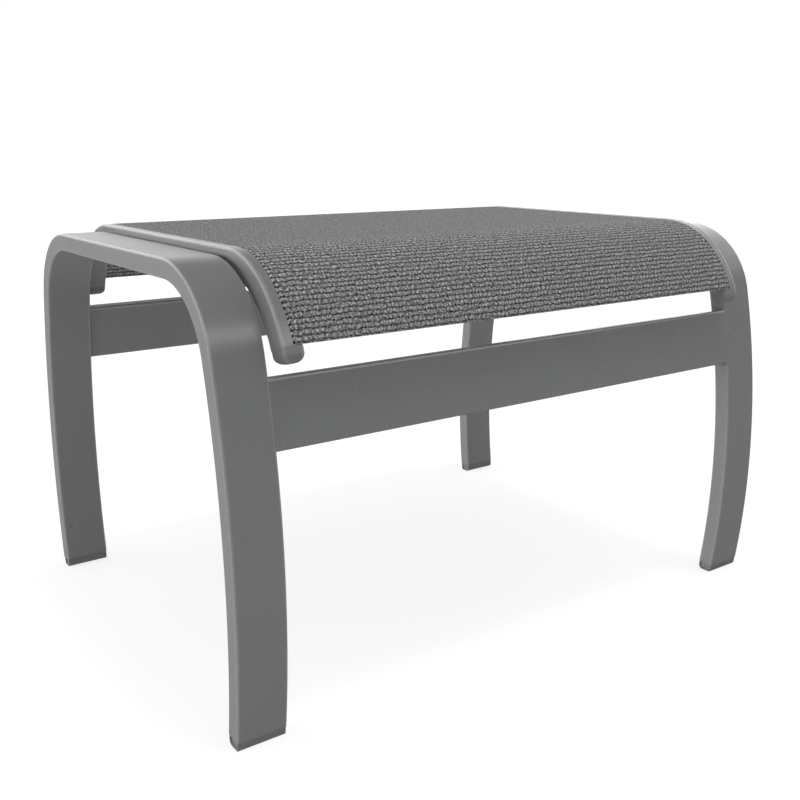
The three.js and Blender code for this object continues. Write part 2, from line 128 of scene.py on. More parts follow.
def rounded_rectangle(x: float, y: float, width: float, height: float, corner: float) -> np.ndarray:
    """The outline of a rectangle with round corners, counter-clockwise about its centre.

    Args:
        x: The centre's x.
        y: The centre's y.
        width: The size along x.
        height: The size along y.
        corner: The corners' radius.

    Returns:
        The outline's points.
    """
    reach_x, reach_y = width / 2 - corner, height / 2 - corner
    signs = ((1, 1), (-1, 1), (-1, -1), (1, -1))
    corners = [
        arc(x + sx * reach_x, y + sy * reach_y, corner, turn * QUARTER, (turn + 1) * QUARTER)
        for turn, (sx, sy) in enumerate(signs)
    ]
    return np.concatenate(corners)


def tube_section(y: float, width: float, height: float, corner: float, wall: float) -> tuple:
    """The outlines of a flat tube's outer and inner skins, both about the same centre.

    Args:
        y: The centre's y.
        width: The size along x.
        height: The size along y.
        corner: The outer corners' radius.
        wall: The wall's thickness.

    Returns:
        The outer outline, with the points that keep its flats flat, and the inner one.
    """
    outer = supported(rounded_rectangle(0, y, width, height, corner))
    return outer, rounded_rectangle(0, y, width - 2 * wall, height - 2 * wall, corner - wall)


def supported(outline: np.ndarray, distance: float = SUPPORT) -> np.ndarray:
    """An outline with a point added near both ends of each long straight run, so that its flats shade flat.

    Args:
        outline: The closed outline.
        distance: How far from the run's ends the points are added.

    Returns:
        The outline with its added points.
    """
    run = np.roll(outline, -1, axis=0) - outline
    length = np.linalg.norm(run, axis=1)
    unit = run / np.maximum(length, 1e-12)[:, None]
    near, far = outline + unit * distance, outline + run - unit * distance
    stacked = np.stack([outline, near, far], axis=1)
    kept = np.stack([length >= 0, length > 3 * distance, length > 3 * distance], axis=1)
    return stacked[kept]


def edge_of(outline: np.ndarray, radius: float = 3 * MM) -> np.ndarray:
    """How much each point of an outline lies on an edge: the turn there per length, times a radius, up to 1.

    Args:
        outline: The closed outline.
        radius: A bend of this radius or less counts fully.

    Returns:
        One value from 0 to 1 for each point.
    """
    ahead = np.roll(outline, -1, axis=0) - outline
    behind = outline - np.roll(outline, 1, axis=0)
    turn = np.arctan2(
        behind[:, 0] * ahead[:, 1] - behind[:, 1] * ahead[:, 0],
        (behind * ahead).sum(axis=1),
    )
    length = (np.linalg.norm(ahead, axis=1) + np.linalg.norm(behind, axis=1)) / 2
    return np.clip(turn / np.maximum(length, SHORTEST_RUN) * radius, 0, 1)


def distance_round(outline: np.ndarray) -> np.ndarray:
    """The distance walked at each point of a closed outline, with the whole way round as the last value."""
    step = np.linalg.norm(np.roll(outline, -1, axis=0) - outline, axis=1)
    return np.concatenate([[0.0], np.cumsum(step)])


@dataclass(frozen=True)
class Stations:
    """Places along a path, with the directions in which an outline stands there."""

    origin: np.ndarray
    across: np.ndarray
    outward: np.ndarray
    along: np.ndarray

    def place(self, outline: np.ndarray) -> np.ndarray:
        """An outline set up at every station: the origin plus x times across plus y times outward.

        Args:
            outline: One outline for all stations, or one for each.

        Returns:
            Points with one row for each station and one column for each point of the outline.
        """
        x, y = outline[..., 0, None], outline[..., 1, None]
        return self.origin[:, None] + x * self.across[:, None] + y * self.outward[:, None]


@dataclass(frozen=True)
class Bend:
    """A round stretch of an arch, up to the slope at which it ends."""

    radius: float
    ends_at: float


@dataclass(frozen=True)
class Arch:
    """A flat top that bends down at the front and the rear, each bend starting at the last one's slope."""

    top: float
    flat_half: float
    bends: tuple[Bend, ...]

    def length_to(self, slope: float) -> float:
        """The distance from the middle of the top to a slope: the flat half plus radius times turn.

        Args:
            slope: The slope, in radians from level.

        Returns:
            The distance along the arch.
        """
        length, start = self.flat_half, 0.0
        for bend in self.bends:
            length += bend.radius * max(0.0, min(bend.ends_at, slope) - start)
            start = bend.ends_at
        return length

    def at(self, along: np.ndarray, x: float | np.ndarray = 0.0) -> tuple[np.ndarray, np.ndarray]:
        """Places on the arch by their distance from the middle of the top, the front's below zero.

        On the flat a place keeps the top's level. On a bend it is the bend's centre plus the radius times
        the sine and cosine of the slope, and the slope is the distance into the bend over its radius.

        Args:
            along: Distances along the arch, an array of any shape.
            x: Where the places lie across the stool.

        Returns:
            The places and the outward directions, each with three values in its last axis.
        """
        reach, end = np.abs(along), np.where(along < 0, -1.0, 1.0)
        slope, y, z = np.zeros_like(reach), reach.copy(), np.full_like(reach, self.top)
        radius, start, start_slope = self.bends[0].radius, self.flat_half, 0.0
        centre = np.array([self.flat_half, self.top - radius])
        for bend in self.bends:
            towards = np.array([math.sin(start_slope), math.cos(start_slope)])
            centre = centre + (radius - bend.radius) * towards
            turned = start_slope + (reach - start) / bend.radius
            beyond = reach > start
            slope = np.where(beyond, turned, slope)
            y = np.where(beyond, centre[0] + bend.radius * np.sin(turned), y)
            z = np.where(beyond, centre[1] + bend.radius * np.cos(turned), z)
            start += bend.radius * (bend.ends_at - start_slope)
            start_slope, radius = bend.ends_at, bend.radius
        place = np.stack([np.broadcast_to(x, y.shape), end * y, z], axis=-1)
        outward = np.stack([np.zeros_like(y), end * np.sin(slope), np.cos(slope)], axis=-1)
        return place, outward

    def stations(self, along: np.ndarray, x: float = 0.0) -> Stations:
        """Stations on the arch, with outlines standing across the stool.

        Args:
            along: Distances along the arch.
            x: Where the path lies across the stool.

        Returns:
            The stations.
        """
        origin, outward = self.at(along, x)
        across = np.broadcast_to(np.array([1.0, 0.0, 0.0]), origin.shape)
        return Stations(origin, across, outward, along)

    def whole(
        self, last_slope: float, turn_step: float = 1.6 * DEGREE, run_step: float = 12 * MM,
    ) -> np.ndarray:
        """Distances of the whole arch from its front end to its rear end.

        Args:
            last_slope: The slope at which both ends stop.
            turn_step: The most that the arch turns between two places.
            run_step: The most that lies between two places.

        Returns:
            The distances, evenly spaced on the flat and in each bend.
        """
        stretches = [np.linspace(0, self.flat_half, math.ceil(self.flat_half / run_step) + 1)]
        start = 0.0
        for bend in self.bends:
            stop = min(bend.ends_at, last_slope)
            steps = math.ceil(max((stop - start) / turn_step, bend.radius * (stop - start) / run_step))
            ends = self.length_to(start), self.length_to(stop)
            stretches.append(np.linspace(*ends, max(steps, 1) + 1)[1:])
            start = stop
        half = np.concatenate(stretches)
        return np.concatenate([-half[:0:-1], half])


class Draft:
    """Gathers grids of points and the faces between them, and makes one closed mesh of them."""

    def __init__(self) -> None:
        """An empty draft."""
        self.points: list[np.ndarray] = []
        self.edges: list[np.ndarray] = []
        self.quads: list[np.ndarray] = []
        self.quad_uvs: list[np.ndarray] = []
        self.triangles: list[np.ndarray] = []
        self.triangle_uvs: list[np.ndarray] = []
        self.count = 0

    def add_points(self, points: np.ndarray, edge: np.ndarray | float = 0.0) -> np.ndarray:
        """Adds points.

        Args:
            points: The points, in an array whose last axis holds x, y and z.
            edge: How much each point lies on an edge.

        Returns:
            The points' numbers, in the array's shape.
        """
        shape = points.shape[:-1]
        number = self.count + np.arange(math.prod(shape)).reshape(shape)
        self.points.append(points.reshape(-1, 3))
        self.edges.append(np.broadcast_to(edge, shape).reshape(-1))
        self.count += number.size
        return number

    def grid(
        self,
        points: np.ndarray,
        around: np.ndarray,
        along: np.ndarray,
        edge: np.ndarray | float = 0.0,
        hoop: bool = False,
    ) -> np.ndarray:
        """Adds a grid of quads whose last column meets its first.

        Args:
            points: The grid's points, rows by columns.
            around: The UV map's first value at each column, with one more for the way back.
            along: The UV map's second value at each row, with one more where the grid is a hoop.
            edge: How much each point lies on an edge.
            hoop: Whether the last row meets the first too.

        Returns:
            The points' numbers, rows by columns.
        """
        number = self.add_points(points, edge)
        first, second = (number, np.roll(number, -1, axis=0)) if hoop else (number[:-1], number[1:])
        corners = [first, np.roll(first, -1, axis=1), np.roll(second, -1, axis=1), second]
        self.quads.append(np.stack(corners, axis=-1).reshape(-1, 4))
        rows = len(first)
        u = np.stack([around[:-1], around[1:], around[1:], around[:-1]], axis=-1)
        v = np.stack([along[:rows], along[:rows], along[1:rows + 1], along[1:rows + 1]], axis=-1)
        uv = np.stack(np.broadcast_arrays(u[None], v[:, None]), axis=-1)
        self.quad_uvs.append(uv.reshape(-1, 4, 2))
        return number

    def fan(self, ring: np.ndarray, centre: np.ndarray, last: bool) -> None:
        """Closes a ring of points with triangles to its centre.

        Args:
            ring: The ring's point numbers.
            centre: The centre's place.
            last: Whether the ring is the last row of its grid, and not the first.
        """
        middle = self.add_points(centre[None])[0]
        ahead = np.roll(ring, -1)
        pair = (ring, ahead) if last else (ahead, ring)
        faces = np.stack([*pair, np.full_like(ring, middle)], axis=-1)
        self.add_triangles(faces, np.zeros((len(ring), 3, 2)))

    def add_triangles(self, faces: np.ndarray, uv: np.ndarray) -> None:
        """Adds triangles by their points' numbers, with their UV values."""
        self.triangles.append(faces)
        self.triangle_uvs.append(uv)

    def face(self, rings: list[np.ndarray], outlines: list[np.ndarray], last: bool) -> None:
        """Closes the end of a sweep with a flat face that keeps its holes.

        Args:
            rings: The point numbers of the outline and of each hole.
            outlines: The outline and the holes in their own plane.
            last: Whether this is the sweep's last end, and not its first.
        """
        flat = np.concatenate(outlines)
        number = np.concatenate(rings)
        loops = [[Vector((x, y, 0)) for x, y in outline] for outline in outlines]
        faces = np.array(tessellate_polygon(loops))
        a, b, c = (flat[faces[:, corner]] for corner in range(3))
        ab, ac = b - a, c - a
        turned = (ab[:, 0] * ac[:, 1] - ab[:, 1] * ac[:, 0] > 0) != last
        faces = np.where(turned[:, None], faces[:, ::-1], faces)
        self.add_triangles(number[faces], flat[faces])

    def sweep(
        self,
        stations: Stations,
        outline: np.ndarray,
        holes: tuple[np.ndarray, ...] = (),
        edge: np.ndarray | None = None,
    ) -> None:
        """Adds an outline with holes carried along stations, and its two end faces.

        Args:
            stations: Where the outline goes.
            outline: The outline, counter-clockwise.
            holes: The holes' outlines, counter-clockwise too.
            edge: How much each point of the outline lies on an edge.
        """
        loops = [outline, *(hole[::-1] for hole in holes)]
        edges = [edge_of(outline) if edge is None else edge, *(0.0 for _ in holes)]
        rings = [
            self.grid(stations.place(loop), distance_round(loop), stations.along, value)
            for loop, value in zip(loops, edges)
        ]
        self.face([ring[0] for ring in rings], loops, last=False)
        self.face([ring[-1] for ring in rings], loops, last=True)

    def loft(self, rings: np.ndarray, edge: np.ndarray | float = 0.0) -> None:
        """Adds a solid through rings of points, closed at both ends by a fan.

        Args:
            rings: The rings, rows by columns.
            edge: How much each point lies on an edge.
        """
        around = distance_round(rings.mean(axis=0)[:, :2])
        steps = np.linalg.norm(np.diff(rings, axis=0), axis=2).mean(axis=1)
        number = self.grid(rings, around, np.concatenate([[0.0], np.cumsum(steps)]), edge)
        self.fan(number[0], rings[0].mean(axis=0), last=False)
        self.fan(number[-1], rings[-1].mean(axis=0), last=True)

    def volume(self, points: np.ndarray) -> float:
        """The volume inside the faces: a sixth of the sum of each triangle's triple product.

        Args:
            points: The draft's points.

        Returns:
            The volume, below zero where the faces point inwards.
        """
        quads = np.concatenate([np.empty((0, 4), int), *self.quads])
        triangles = np.concatenate([quads[:, [0, 1, 2]], quads[:, [0, 2, 3]], *self.triangles])
        a, b, c = (points[triangles[:, corner]] for corner in range(3))
        return float((a * np.cross(b, c)).sum() / 6)

    def build(self, name: str) -> bpy.types.Object:
        """Makes the mesh, with its faces pointing outwards, its UV map and its edge attribute.

        Args:
            name: The object's name.

        Returns:
            The object, at the origin.
        """
        points = np.concatenate(self.points)
        turn = -1 if self.volume(points) < 0 else 1
        faces = [row for block in (*self.quads, *self.triangles) for row in block[:, ::turn].tolist()]
        uvs = [block[:, ::turn].reshape(-1) for block in (*self.quad_uvs, *self.triangle_uvs)]
        mesh = bpy.data.meshes.new(name)
        mesh.from_pydata(points, [], faces)
        mesh.uv_layers.new(name="UVMap").data.foreach_set("uv", np.concatenate(uvs))
        edge = mesh.attributes.new("edge", "FLOAT", "POINT")
        edge.data.foreach_set("value", np.concatenate(self.edges).astype(np.float32))
        mesh.polygons.foreach_set("use_smooth", np.ones(len(faces), bool))
        mesh.set_sharp_from_angle(angle=SMOOTH_BELOW)
        mesh.update()
        if mesh.validate(verbose=False):
            log.warning("%s had faulty faces", name)
        piece = bpy.data.objects.new(name, mesh)
        bpy.context.scene.collection.objects.link(piece)
        return piece


def dress(draft: Draft, node: str, material: bpy.types.Material) -> bpy.types.Object:
    """Makes a piece that stands for a node of the frame, in its finish.

    Args:
        draft: The piece's surfaces.
        node: The node's name.
        material: The finish.

    Returns:
        The piece.
    """
    piece = draft.build(f"{node}_surface")
    piece.data.materials.append(material)
    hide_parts(node)
    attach(piece, "root")
    log.info("%s: %d faces", piece.name, len(piece.data.polygons))
    return piece


class Tree:
    """Lays nodes in a node tree and links them by their sockets."""

    def __init__(self, tree: bpy.types.NodeTree) -> None:
        """A hand for one tree."""
        self.tree = tree

    def fill(self, node: bpy.types.Node, inputs: dict) -> bpy.types.Node:
        """Sets a node's inputs, and links those whose value is a socket.

        Args:
            node: The node.
            inputs: Values or sockets, by the inputs' names or numbers.

        Returns:
            The node.
        """
        for key, value in inputs.items():
            if isinstance(value, bpy.types.NodeSocket):
                self.tree.links.new(value, node.inputs[key])
            else:
                node.inputs[key].default_value = value
        return node

    def add(self, kind: str, inputs: dict | None = None, **settings: object) -> bpy.types.Node:
        """Adds a node.

        Args:
            kind: The node's type, without its leading word.
            inputs: Values or sockets for the node's inputs, by name or number.
            settings: The node's own settings.

        Returns:
            The node.
        """
        node = self.tree.nodes.new(kind if kind.startswith("Node") else f"ShaderNode{kind}")
        for key, value in settings.items():
            setattr(node, key, value)
        return self.fill(node, inputs or {})

    def group(self, tree: bpy.types.NodeTree, inputs: dict) -> bpy.types.Node:
        """Places a node group with its own values."""
        return self.add("Group", inputs, node_tree=tree)

    def math(self, operation: str, *values: object) -> bpy.types.NodeSocket:
        """The result of a Math node on values or sockets."""
        return self.add("Math", dict(enumerate(values)), operation=operation).outputs[0]

    def fold(self, operation: str, *values: object) -> bpy.types.NodeSocket:
        """The result of Math nodes that take in the values one after another."""
        return reduce(lambda so_far, value: self.math(operation, so_far, value), values)

    def times(self, *values: object) -> bpy.types.NodeSocket:
        """The product of values or sockets."""
        return self.fold("MULTIPLY", *values)

    def plus(self, *values: object) -> bpy.types.NodeSocket:
        """The sum of values or sockets."""
        return self.fold("ADD", *values)

    def noise(
        self, place: object, scale: object, detail: float, rough: float = 0.5, flat: bool = False,
    ) -> bpy.types.Node:
        """A noise texture.

        Args:
            place: Where it is read.
            scale: How many of its grains fill one unit of place.
            detail: How many finer layers it has.
            rough: How strong each finer layer is.
            flat: Whether it varies in the first two directions only.

        Returns:
            The texture's node.
        """
        inputs = {"Vector": place, "Scale": scale, "Detail": detail, "Roughness": rough}
        return self.add("TexNoise", inputs, noise_dimensions="2D" if flat else "3D")

    def mix(self, factor: object, low: object, high: object) -> bpy.types.NodeSocket:
        """A colour between two colours.

        Args:
            factor: Where between them, 0 to 1.
            low: The colour at 0.
            high: The colour at 1.

        Returns:
            The mixed colour.
        """
        inputs = {"Factor": factor, 6: low, 7: high}
        return self.add("Mix", inputs, data_type="RGBA").outputs[2]

    def spread(
        self, value: object, low: float, high: float, to_low: float, to_high: float,
        curve: str = "SMOOTHSTEP",
    ) -> bpy.types.NodeSocket:
        """A value brought from one range to another, and held inside it.

        Args:
            value: The value.
            low: The start of its range.
            high: The end of its range.
            to_low: What the start becomes.
            to_high: What the end becomes.
            curve: Blender's word for the way between them.

        Returns:
            The new value.
        """
        inputs = {0: value, 1: low, 2: high, 3: to_low, 4: to_high}
        return self.add("MapRange", inputs, interpolation_type=curve).outputs[0]

    def blend(self, factor: object, low: object, high: object) -> bpy.types.NodeSocket:
        """A value between two values, as mix is for colours."""
        return self.add("Mix", {0: factor, 2: low, 3: high}, data_type="FLOAT").outputs[0]


def new_group(name: str, inputs: dict[str, float | None], outputs: tuple[str, ...]) -> tuple:
    """Starts a shader node group.

    Args:
        name: The group's name.
        inputs: The inputs' names and default values, None for a vector.
        outputs: The names of its outputs, all values.

    Returns:
        The group's tree, a Tree on it, its input node and its output node.
    """
    tree = bpy.data.node_groups.new(name, "ShaderNodeTree")
    for key, value in inputs.items():
        kind = "NodeSocketVector" if value is None else "NodeSocketFloat"
        made = tree.interface.new_socket(name=key, in_out="INPUT", socket_type=kind)
        if value is not None:
            made.default_value = value
    for key in outputs:
        tree.interface.new_socket(name=key, in_out="OUTPUT", socket_type="NodeSocketFloat")
    hand = Tree(tree)
    return tree, hand, hand.add("NodeGroupInput"), hand.add("NodeGroupOutput")


@cache
def paint_texture() -> bpy.types.NodeTree:
    """The faint pebbling and the patchy gloss of a sprayed or moulded surface.

    Returns:
        A group with a height from 0 to 1 and a slow variation from 0 to 1.
    """
    tree, hand, given, out = new_group(
        "paint_texture", {"Place": None, "Pebble": 0.9 * MM, "Patch": 60 * MM}, ("Height", "Variation"),
    )
    place = given.outputs["Place"]
    pebble = hand.noise(place, hand.math("DIVIDE", 1.0, given.outputs["Pebble"]), detail=2.0, rough=0.55)
    patch = hand.noise(place, hand.math("DIVIDE", 1.0, given.outputs["Patch"]), detail=1.0, rough=0.4)
    varied = hand.spread(patch.outputs[0], 0.25, 0.75, 0.0, 1.0)
    hand.fill(out, {"Height": pebble.outputs[0], "Variation": varied})
    return tree


@cache
def edge_wear() -> bpy.types.NodeTree:
    """Where handling has polished an edge: the edge attribute broken up by noise along the edge.

    On the stretchers' upper edges this mask carries a painted highlight.

    Returns:
        A group with a mask from 0 to 1.
    """
    tree, hand, given, out = new_group(
        "edge_wear", {"Place": None, "Edge": 0.0, "Size": 14 * MM, "Amount": 0.5}, ("Mask",),
    )
    scale = hand.math("DIVIDE", 1.0, given.outputs["Size"])
    noise = hand.noise(given.outputs["Place"], scale, detail=4.0, rough=0.65)
    broken = hand.spread(noise.outputs[0], 0.3, 0.7, 0.7, 1.0)
    hand.fill(out, {"Mask": hand.times(given.outputs["Edge"], broken, given.outputs["Amount"])})
    return tree


@cache
def fine_dust() -> bpy.types.NodeTree:
    """A trace of dust: fine specks and soft patches, more of them where the surface faces up.

    Returns:
        A group with a mask from 0 to 1.
    """
    tree, hand, given, out = new_group(
        "fine_dust", {"Place": None, "Up": 0.0, "Amount": 0.2}, ("Mask",),
    )
    patches = hand.noise(given.outputs["Place"], 9.0, detail=2.0)
    specks = hand.noise(given.outputs["Place"], 900.0, detail=1.0)
    facing = hand.spread(given.outputs["Up"], 0.0, 1.0, 0.25, 1.0)
    soft = hand.spread(patches.outputs[0], 0.35, 0.9, 0.0, 1.0)
    fine = hand.spread(specks.outputs[0], 0.55, 0.75, 0.3, 1.0)
    hand.fill(out, {"Mask": hand.times(soft, fine, facing, given.outputs["Amount"])})
    return tree


@dataclass(frozen=True)
class Yarn:
    """The cloth's yarns: their shares of the tone, what chance moves, and where the cloth turns down."""

    rib_share: float = 0.74
    float_share: float = 0.12
    mottle_share: float = 1.0
    strand_share: float = 0.42
    drift: float = 9 * MM
    rib_slip: float = 0.13
    float_sway: float = 0.45
    float_step: float = 0.5
    float_chance: float = 0.25
    strand_turn: float = 34 * DEGREE
    strand_width: float = 0.6 * MM
    strand_length: float = 1.6 * MM
    top_end: float = 120 * MM
    drop_start: float = 190 * MM
    top_contrast: float = 0.55
    # Tone level on the seat's top, below the drops' level: painted shade against the stronger light on the
    # top.
    top_shaded_level: float = 0.43
    drop_level: float = 0.5
    selvedge_start: float = 0.4 * MM
    selvedge_end: float = 2.6 * MM
    fuzz: float = 0.16


@cache
def weave_pattern(yarn: Yarn) -> bpy.types.NodeTree:
    """Ribs of thick yarn across the cloth, floats along each rib, and mottled strands on top.

    A rib's crest is half less half the cosine of its phase. A float's wave is the cosine of its own phase,
    which every second rib shifts by half, and chance shifts a little. The tone adds the crest, the wave and
    the mottling in the yarn's shares. At the cloth's selvedges the ribs' ends are painted light and their
    gaps painted dark: a painted highlight on the ribs' ends and painted shade between them.

    Args:
        yarn: The yarns' shares and measures.

    Returns:
        A group with the relief and the tone, each from about 0 to 1.
    """
    tree, hand, given, out = new_group(
        "weave_pattern",
        {"Place": None, "Rib": 5 * MM, "Float": 5 * MM, "Mottle": 2 * MM, "Half Width": 0.3},
        ("Height", "Tone"),
    )
    place = given.outputs["Place"]
    across, along, _ = hand.add("SeparateXYZ", {0: place}).outputs
    drift = hand.noise(place, 1 / yarn.drift, detail=1.0, flat=True)
    sway, slip, _ = hand.add("SeparateColor", {0: drift.outputs["Color"]}).outputs
    row_place = hand.math("DIVIDE", along, given.outputs["Rib"])
    row = hand.math("FLOOR", row_place)
    swayed = hand.plus(row_place, hand.spread(slip, 0.2, 0.8, -yarn.rib_slip, yarn.rib_slip))
    crest = hand.blend(hand.math("COSINE", hand.times(swayed, FULL)), 0.5, 0.0)
    chance = hand.add("TexWhiteNoise", {"W": row}, noise_dimensions="1D").outputs[0]
    float_place = hand.plus(
        hand.math("DIVIDE", across, given.outputs["Float"]),
        hand.times(row, yarn.float_step),
        hand.times(chance, yarn.float_chance),
        hand.spread(sway, 0.2, 0.8, -yarn.float_sway, yarn.float_sway),
    )
    wave = hand.math("COSINE", hand.times(float_place, FULL))
    twist = hand.add("Mapping", {"Vector": place, "Rotation": (0, 0, yarn.strand_turn),
                                 "Scale": (1 / yarn.strand_width, 1 / yarn.strand_length, 1)})
    strands = hand.noise(twist.outputs[0], 1.0, detail=2.0, rough=0.6, flat=True).outputs[0]
    mottle_scale = hand.math("DIVIDE", 1.0, given.outputs["Mottle"])
    mottle = hand.noise(place, mottle_scale, detail=1.0, flat=True).outputs[0]
    # The crest's share makes the ribs lighter at their crests and darker between them: partly the yarn's own
    # tone, partly painted highlight and painted shade beyond what the ribs' relief gives.
    rib_tone_and_shading, mottled, stranded = (
        hand.times(hand.math("SUBTRACT", value, 0.5), share)
        for value, share in (
            (crest, yarn.rib_share), (mottle, yarn.mottle_share), (strands, yarn.strand_share),
        )
    )
    tone = hand.plus(hand.plus(rib_tone_and_shading, hand.times(wave, yarn.float_share)), hand.plus(mottled, stranded))
    from_middle = hand.math("ABSOLUTE", along)
    # Painted shade: the seat's top gets a lower tone level than its drops.
    contrast, level = (
        hand.spread(from_middle, yarn.top_end, yarn.drop_start, on_top, on_drop)
        for on_top, on_drop in ((yarn.top_contrast, 1.0), (yarn.top_shaded_level, yarn.drop_level))
    )
    from_edge = hand.math("SUBTRACT", given.outputs["Half Width"], hand.math("ABSOLUTE", across))
    selvedge = hand.spread(from_edge, yarn.selvedge_start, yarn.selvedge_end, 1.0, 0.0)
    # Painted highlight and painted shade at the selvedges: the ribs' ends lighter, the gaps between them
    # darker.
    selvedge_light_and_shade = hand.spread(crest, 0.2, 0.85, -0.3, 0.7)
    tone = hand.plus(hand.times(tone, contrast), level, hand.times(selvedge, selvedge_light_and_shade))
    height = hand.plus(
        hand.times(crest, hand.spread(wave, -1.0, 1.0, 0.5, 0.8)),
        hand.times(hand.plus(strands, mottle), yarn.fuzz),
    )
    hand.fill(out, {"Height": height, "Tone": tone})
    return tree


def linear(red: float, green: float, blue: float) -> tuple[float, float, float, float]:
    """A colour as the shaders read it.

    Args:
        red: The red that a screen shows, 0 to 255.
        green: The green.
        blue: The blue.

    Returns:
        The colour's linear values, and 1 for its alpha.
    """
    shown = np.array([red, green, blue]) / 255
    light = np.where(shown <= 0.04045, shown / 12.92, ((shown + 0.055) / 1.055) ** 2.4)
    return (*light.tolist(), 1.0)


def toned(colour: tuple[float, ...], factor: float) -> tuple[float, float, float, float]:
    """A colour multiplied by a factor, and held at full."""
    return (*(min(1.0, factor * value) for value in colour[:3]), 1.0)


def new_material(name: str) -> tuple[bpy.types.Material, Tree, bpy.types.Node]:
    """Starts a material.

    Args:
        name: The material's name.

    Returns:
        The material, a Tree on its nodes and its Principled BSDF.
    """
    material = bpy.data.materials.new(name)
    material.use_nodes = True
    shader = material.node_tree.nodes["Principled BSDF"]
    return material, Tree(material.node_tree), shader


def cover(hand: Tree, shader: bpy.types.Node, looks: dict, height: object, relief: float) -> None:
    """Gives a shader its values, and a bump for its normal.

    Args:
        hand: The material's Tree.
        shader: Its Principled BSDF.
        looks: Values or sockets for the shader's inputs.
        height: The bump's height, 0 to 1.
        relief: The depth that a height of 1 stands for.
    """
    bump = hand.add("Bump", {"Height": height, "Distance": relief, "Strength": 1.0})
    hand.fill(shader, looks | {"Normal": bump.outputs[0]})


@dataclass(frozen=True)
class PaintedFinish:
    """A sprayed or moulded grey finish with a soft gloss."""

    name: str
    colour: tuple[float, float, float]
    worn_colour: tuple[float, float, float]
    roughness: float
    pebble: float
    pebble_height: float
    # How strongly edges are lightened: edge wear, and on the stretchers' upper edges a painted highlight.
    wear: float
    dust: float
    patch_tone: float = 0.985
    gloss_swing: float = 0.04
    wear_polish: float = 0.12
    dust_dulling: float = 0.3

    @cached_property
    def material(self) -> bpy.types.Material:
        """The finish as a material: base colour and gloss vary slowly, and edges are a little lighter.

        On the stretchers' upper edges the lighter colour is a painted highlight.

        Returns:
            The material, made once.
        """
        material, hand, shader = new_material(self.name)
        place = hand.add("TexCoord").outputs["Object"]
        edge = hand.add("Attribute", attribute_name="edge").outputs["Fac"]
        normal = hand.add("NewGeometry").outputs["Normal"]
        up = hand.add("SeparateXYZ", {0: normal}).outputs[2]
        texture = hand.group(paint_texture(), {"Place": place, "Pebble": self.pebble})
        wear = hand.group(edge_wear(), {"Place": place, "Edge": edge, "Amount": self.wear}).outputs[0]
        dust = hand.group(fine_dust(), {"Place": place, "Up": up, "Amount": self.dust}).outputs[0]
        varied = texture.outputs["Variation"]
        base = linear(*self.colour)
        colour = hand.mix(varied, toned(base, self.patch_tone), base)
        # Lighter edges: edge wear, and on the stretchers' upper edges a painted highlight.
        colour = hand.mix(wear, colour, linear(*self.worn_colour))
        colour = hand.mix(dust, colour, linear(*DUST_COLOUR))
        rough = hand.plus(self.roughness - self.gloss_swing / 2, hand.times(varied, self.gloss_swing))
        rough = hand.math("SUBTRACT", rough, hand.times(wear, self.wear_polish))
        rough = hand.plus(rough, hand.times(dust, self.dust_dulling))
        looks = {"Base Color": colour, "Roughness": rough}
        cover(hand, shader, looks, texture.outputs["Height"], self.pebble_height)
        return material


@dataclass(frozen=True)
class MetalFinish:
    """Bare metal with fine lines along its length and a dull film."""

    name: str
    colour: tuple[float, float, float]
    roughness: float
    line_pitch: float
    line_height: float
    lines_along: float = 9.0
    wear: float = 0.6
    film: float = 0.35
    line_tone: float = 0.86
    worn_tone: float = 1.12
    gloss_swing: float = 0.16
    film_dulling: float = 0.35

    @cached_property
    def material(self) -> bpy.types.Material:
        """The finish as a material: lines run along the UV map's second direction.

        Returns:
            The material, made once.
        """
        material, hand, shader = new_material(self.name)
        uv = hand.add("TexCoord").outputs["UV"]
        place = hand.add("TexCoord").outputs["Object"]
        edge = hand.add("Attribute", attribute_name="edge").outputs["Fac"]
        scale = (1 / self.line_pitch, self.lines_along, 1.0)
        stretched = hand.add("Mapping", {"Vector": uv, "Scale": scale})
        lines = hand.noise(stretched.outputs[0], 1.0, detail=4.0, rough=0.7).outputs[0]
        wear = hand.group(edge_wear(), {"Place": place, "Edge": edge, "Amount": self.wear}).outputs[0]
        film = hand.group(fine_dust(), {"Place": place, "Up": 1.0, "Amount": self.film}).outputs[0]
        base = linear(*self.colour)
        colour = hand.mix(lines, toned(base, self.line_tone), base)
        colour = hand.mix(wear, colour, toned(base, self.worn_tone))
        colour = hand.mix(film, colour, linear(*FILM_COLOUR))
        rough = hand.plus(self.roughness - self.gloss_swing / 2, hand.times(lines, self.gloss_swing))
        rough = hand.plus(rough, hand.times(film, self.film_dulling))
        looks = {"Base Color": colour, "Roughness": rough, "Metallic": 1.0}
        cover(hand, shader, looks, lines, self.line_height)
        return material


